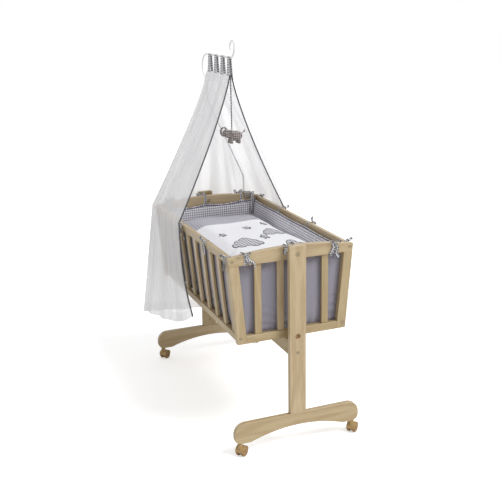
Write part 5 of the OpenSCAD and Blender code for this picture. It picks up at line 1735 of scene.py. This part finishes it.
@dataclass
class Toy:
    """A small plush animal that hangs on a braided cord from the canopy's front corner."""

    x: float = -0.131
    y: float = 0.005
    z: float = 1.113
    cord_top: float = 1.361
    cord_low: float = 1.141
    cord_d: float = 0.005
    tilt: float = -0.05
    cell: float = 0.0016
    leg_d: float = 0.0158
    trunk_d: float = 0.0105
    tail_d: float = 0.0032
    tuft_d: float = 0.0028
    ear_r: float = 0.0125
    ear_t: float = 0.0024
    ear_turn: float = math.radians(24)

    def cord(self, finishes: Finishes, trims: bpy.types.Object) -> None:
        """The cord: a round section straight down under the toy's weight."""
        z = np.linspace(self.cord_top, self.cord_low, 56)
        route = together(self.x, 0, z)
        made = sweep(route, oval(self.cord_d, self.cord_d, 14)).made("toy_cord_braid", finishes.braid)
        declared(made, "toy", "toy_cord")

    def tilted(self, thing: bpy.types.Object) -> None:
        """Turns a finished piece about the cord's end, as the toy hangs a little out of level."""
        points, pivot = coordinates(thing.data), np.array([self.x, 0.0, self.z + 0.024])
        c, s = math.cos(self.tilt), math.sin(self.tilt)
        turned = np.array([[1, 0, 0], [0, c, s], [0, -s, c]])
        set_coordinates(thing.data, pivot + (points - pivot) @ turned)

    def body(self) -> list[Surface]:
        """Body, head, legs and trunk as overlapping round forms, before they are fused."""
        at = np.array([self.x, self.y, self.z])
        forms = [((0, 0.010, -0.001), (0.0215, 0.033, 0.0215)),
                 ((0, -0.028, 0.010), (0.0165, 0.0165, 0.0175)),
                 ((0, -0.010, 0.004), (0.0175, 0.020, 0.0185))]
        parts = [ball(at + c, r) for c, r in forms]
        for x in (-0.0098, 0.0098):
            for y in (-0.009, 0.025):
                leg = np.array([[x, y, -0.004], [x, y, -0.016],
                                [1.05 * x, y, -0.0295], [1.05 * x, y, -0.0325]])
                path = smooth_route(at + leg, 6)
                run = np.linspace(0, 1, len(path))
                fat = 0.92 + 0.12 * run - 0.55 * np.clip((run - 0.86) / 0.14, 0, 1) ** 2
                parts.append(sweep(path, oval(self.leg_d, self.leg_d, 18), widen=together(fat, fat)))
        trunk = np.array([[0, -0.032, 0.004], [0, -0.0425, 0.001], [0, -0.0510, 0.008],
                          [0, -0.0535, 0.0195], [0, -0.0490, 0.0305], [0, -0.0395, 0.0345],
                          [0, -0.0310, 0.0300], [0, -0.0310, 0.0215]])
        path = smooth_route(at + trunk, 7)
        thin = np.linspace(1.15, 0.58, len(path))
        return [*parts, sweep(path, oval(self.trunk_d, self.trunk_d, 16), widen=together(thin, thin))]

    def ear(self, side: int) -> Surface:
        """A soft round ear: a flat disc that cups forwards, with a thin edge."""
        shares, turn = np.linspace(0.03, 1, 12)[:, None], turns(40)[None]
        across, up = shares * np.cos(turn), shares * np.sin(turn)
        cup = 0.0035 * (across**2 + 0.6 * up**2)
        reach = self.ear_r * (1 + 0.08 * np.cos(2 * turn))
        face = together(0.0012 + cup, reach * across, 1.08 * reach * up)
        back = face - self.ear_t * X_WAY
        back[-1] = face[-1] - self.ear_t / 4 * X_WAY
        points = np.concatenate([face, back[::-1]])
        disc = grid(points, np.linspace(0, 0.08, 41), np.linspace(0, 0.03, 24), wrap=True, capped=True)
        c, s = math.cos(self.ear_turn), math.sin(self.ear_turn)
        axes = np.stack([np.array([side * c, -s, 0]), np.array([side * s, c, 0]), Z_WAY])
        return disc.moved(np.array([self.x + side * 0.0155, self.y - 0.021, self.z + 0.0075]), axes)

    def tail(self) -> list[Surface]:
        """A short tail with a tuft of five strands."""
        at = np.array([self.x, self.y, self.z])
        tail = np.array([[0, 0.040, 0.008], [0, 0.0440, 0.012], [0, 0.0465, 0.0155]]) + at
        ends = ((0, 0.0105), (0.003, 0.0050), (-0.003, 0.0065), (0.0015, -0.001), (0, 0.0020))
        strands = [sweep(smooth_route(tail, 5), oval(self.tail_d, self.tail_d, 8))]
        for x, z in ends:
            path = smooth_route(np.vstack([tail[-1:], tail[-1:] + [[x, 0.0070, z]]]), 4)
            strands.append(sweep(path, oval(self.tuft_d, self.tuft_d, 7)))
        return strands

    def plush(self, finishes: Finishes) -> bpy.types.Object:
        """The stuffed body, its forms fused to one soft skin."""
        made = Surface.joined(self.body()).made("plush_toy", finishes.plush)
        fused(made, self.cell)
        soften = made.modifiers.new("soften", "SMOOTH")
        soften.factor, soften.iterations = 0.6, 10
        baked(made)
        made.data.materials.clear()
        made.data.materials.append(finishes.plush)
        flat_coordinates(made.data, (0.6, 1, 0), (0.25, 0, 1))
        return made

    def built(self, finishes: Finishes) -> None:
        """Makes the body, its ears, tail, eyes and button, and hangs it on its cord."""
        plush = self.plush(finishes)
        button = ball((self.x, 0.0, self.z + 0.0235), (0.0046, 0.0046, 0.0042), 10, 16, slot=1)
        eyes = [ball((self.x + side * 0.0158, self.y - 0.0325, self.z + 0.0135), (0.0016, 0.0018, 0.0018),
                     8, 12, slot=1) for side in (-1, 1)]
        trims = Surface.joined([self.ear(-1), self.ear(1), button, *eyes, *self.tail()]).made(
            "plush_toy_trims", finishes.plush, finishes.button)
        for piece, node in ((plush, "toy"), (trims, "")):
            self.tilted(piece)
            declared(piece, "toy", node)
        self.cord(finishes, trims)


# ------------------------------------------------------------------ the whole


def main() -> None:
    """Loads the frame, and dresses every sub-assembly."""
    logging.basicConfig(level=logging.INFO, format="%(name)s: %(message)s")
    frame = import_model()
    body_of = {node: body for body, nodes in frame["record"]["behaviour"]["bodies"].items() for node in nodes}
    Studio().built()
    finishes = Finishes()
    Toy().built(finishes)
    Woodwork().built(finishes, body_of)
    Hardware().built(finishes, body_of)
    padding, bumpers, duvet = Padding(), Bumpers(), Duvet()
    covers = bumpers.shapes(padding, finishes)
    quilt = duvet.shape(padding, finishes)
    padding.run()
    bumpers.finished(covers, finishes)
    duvet.finished(quilt, finishes)
    for assembly in (Mattress(), Canopy(), Ties()):
        assembly.built(finishes)


if __name__ == "__main__":
    main()
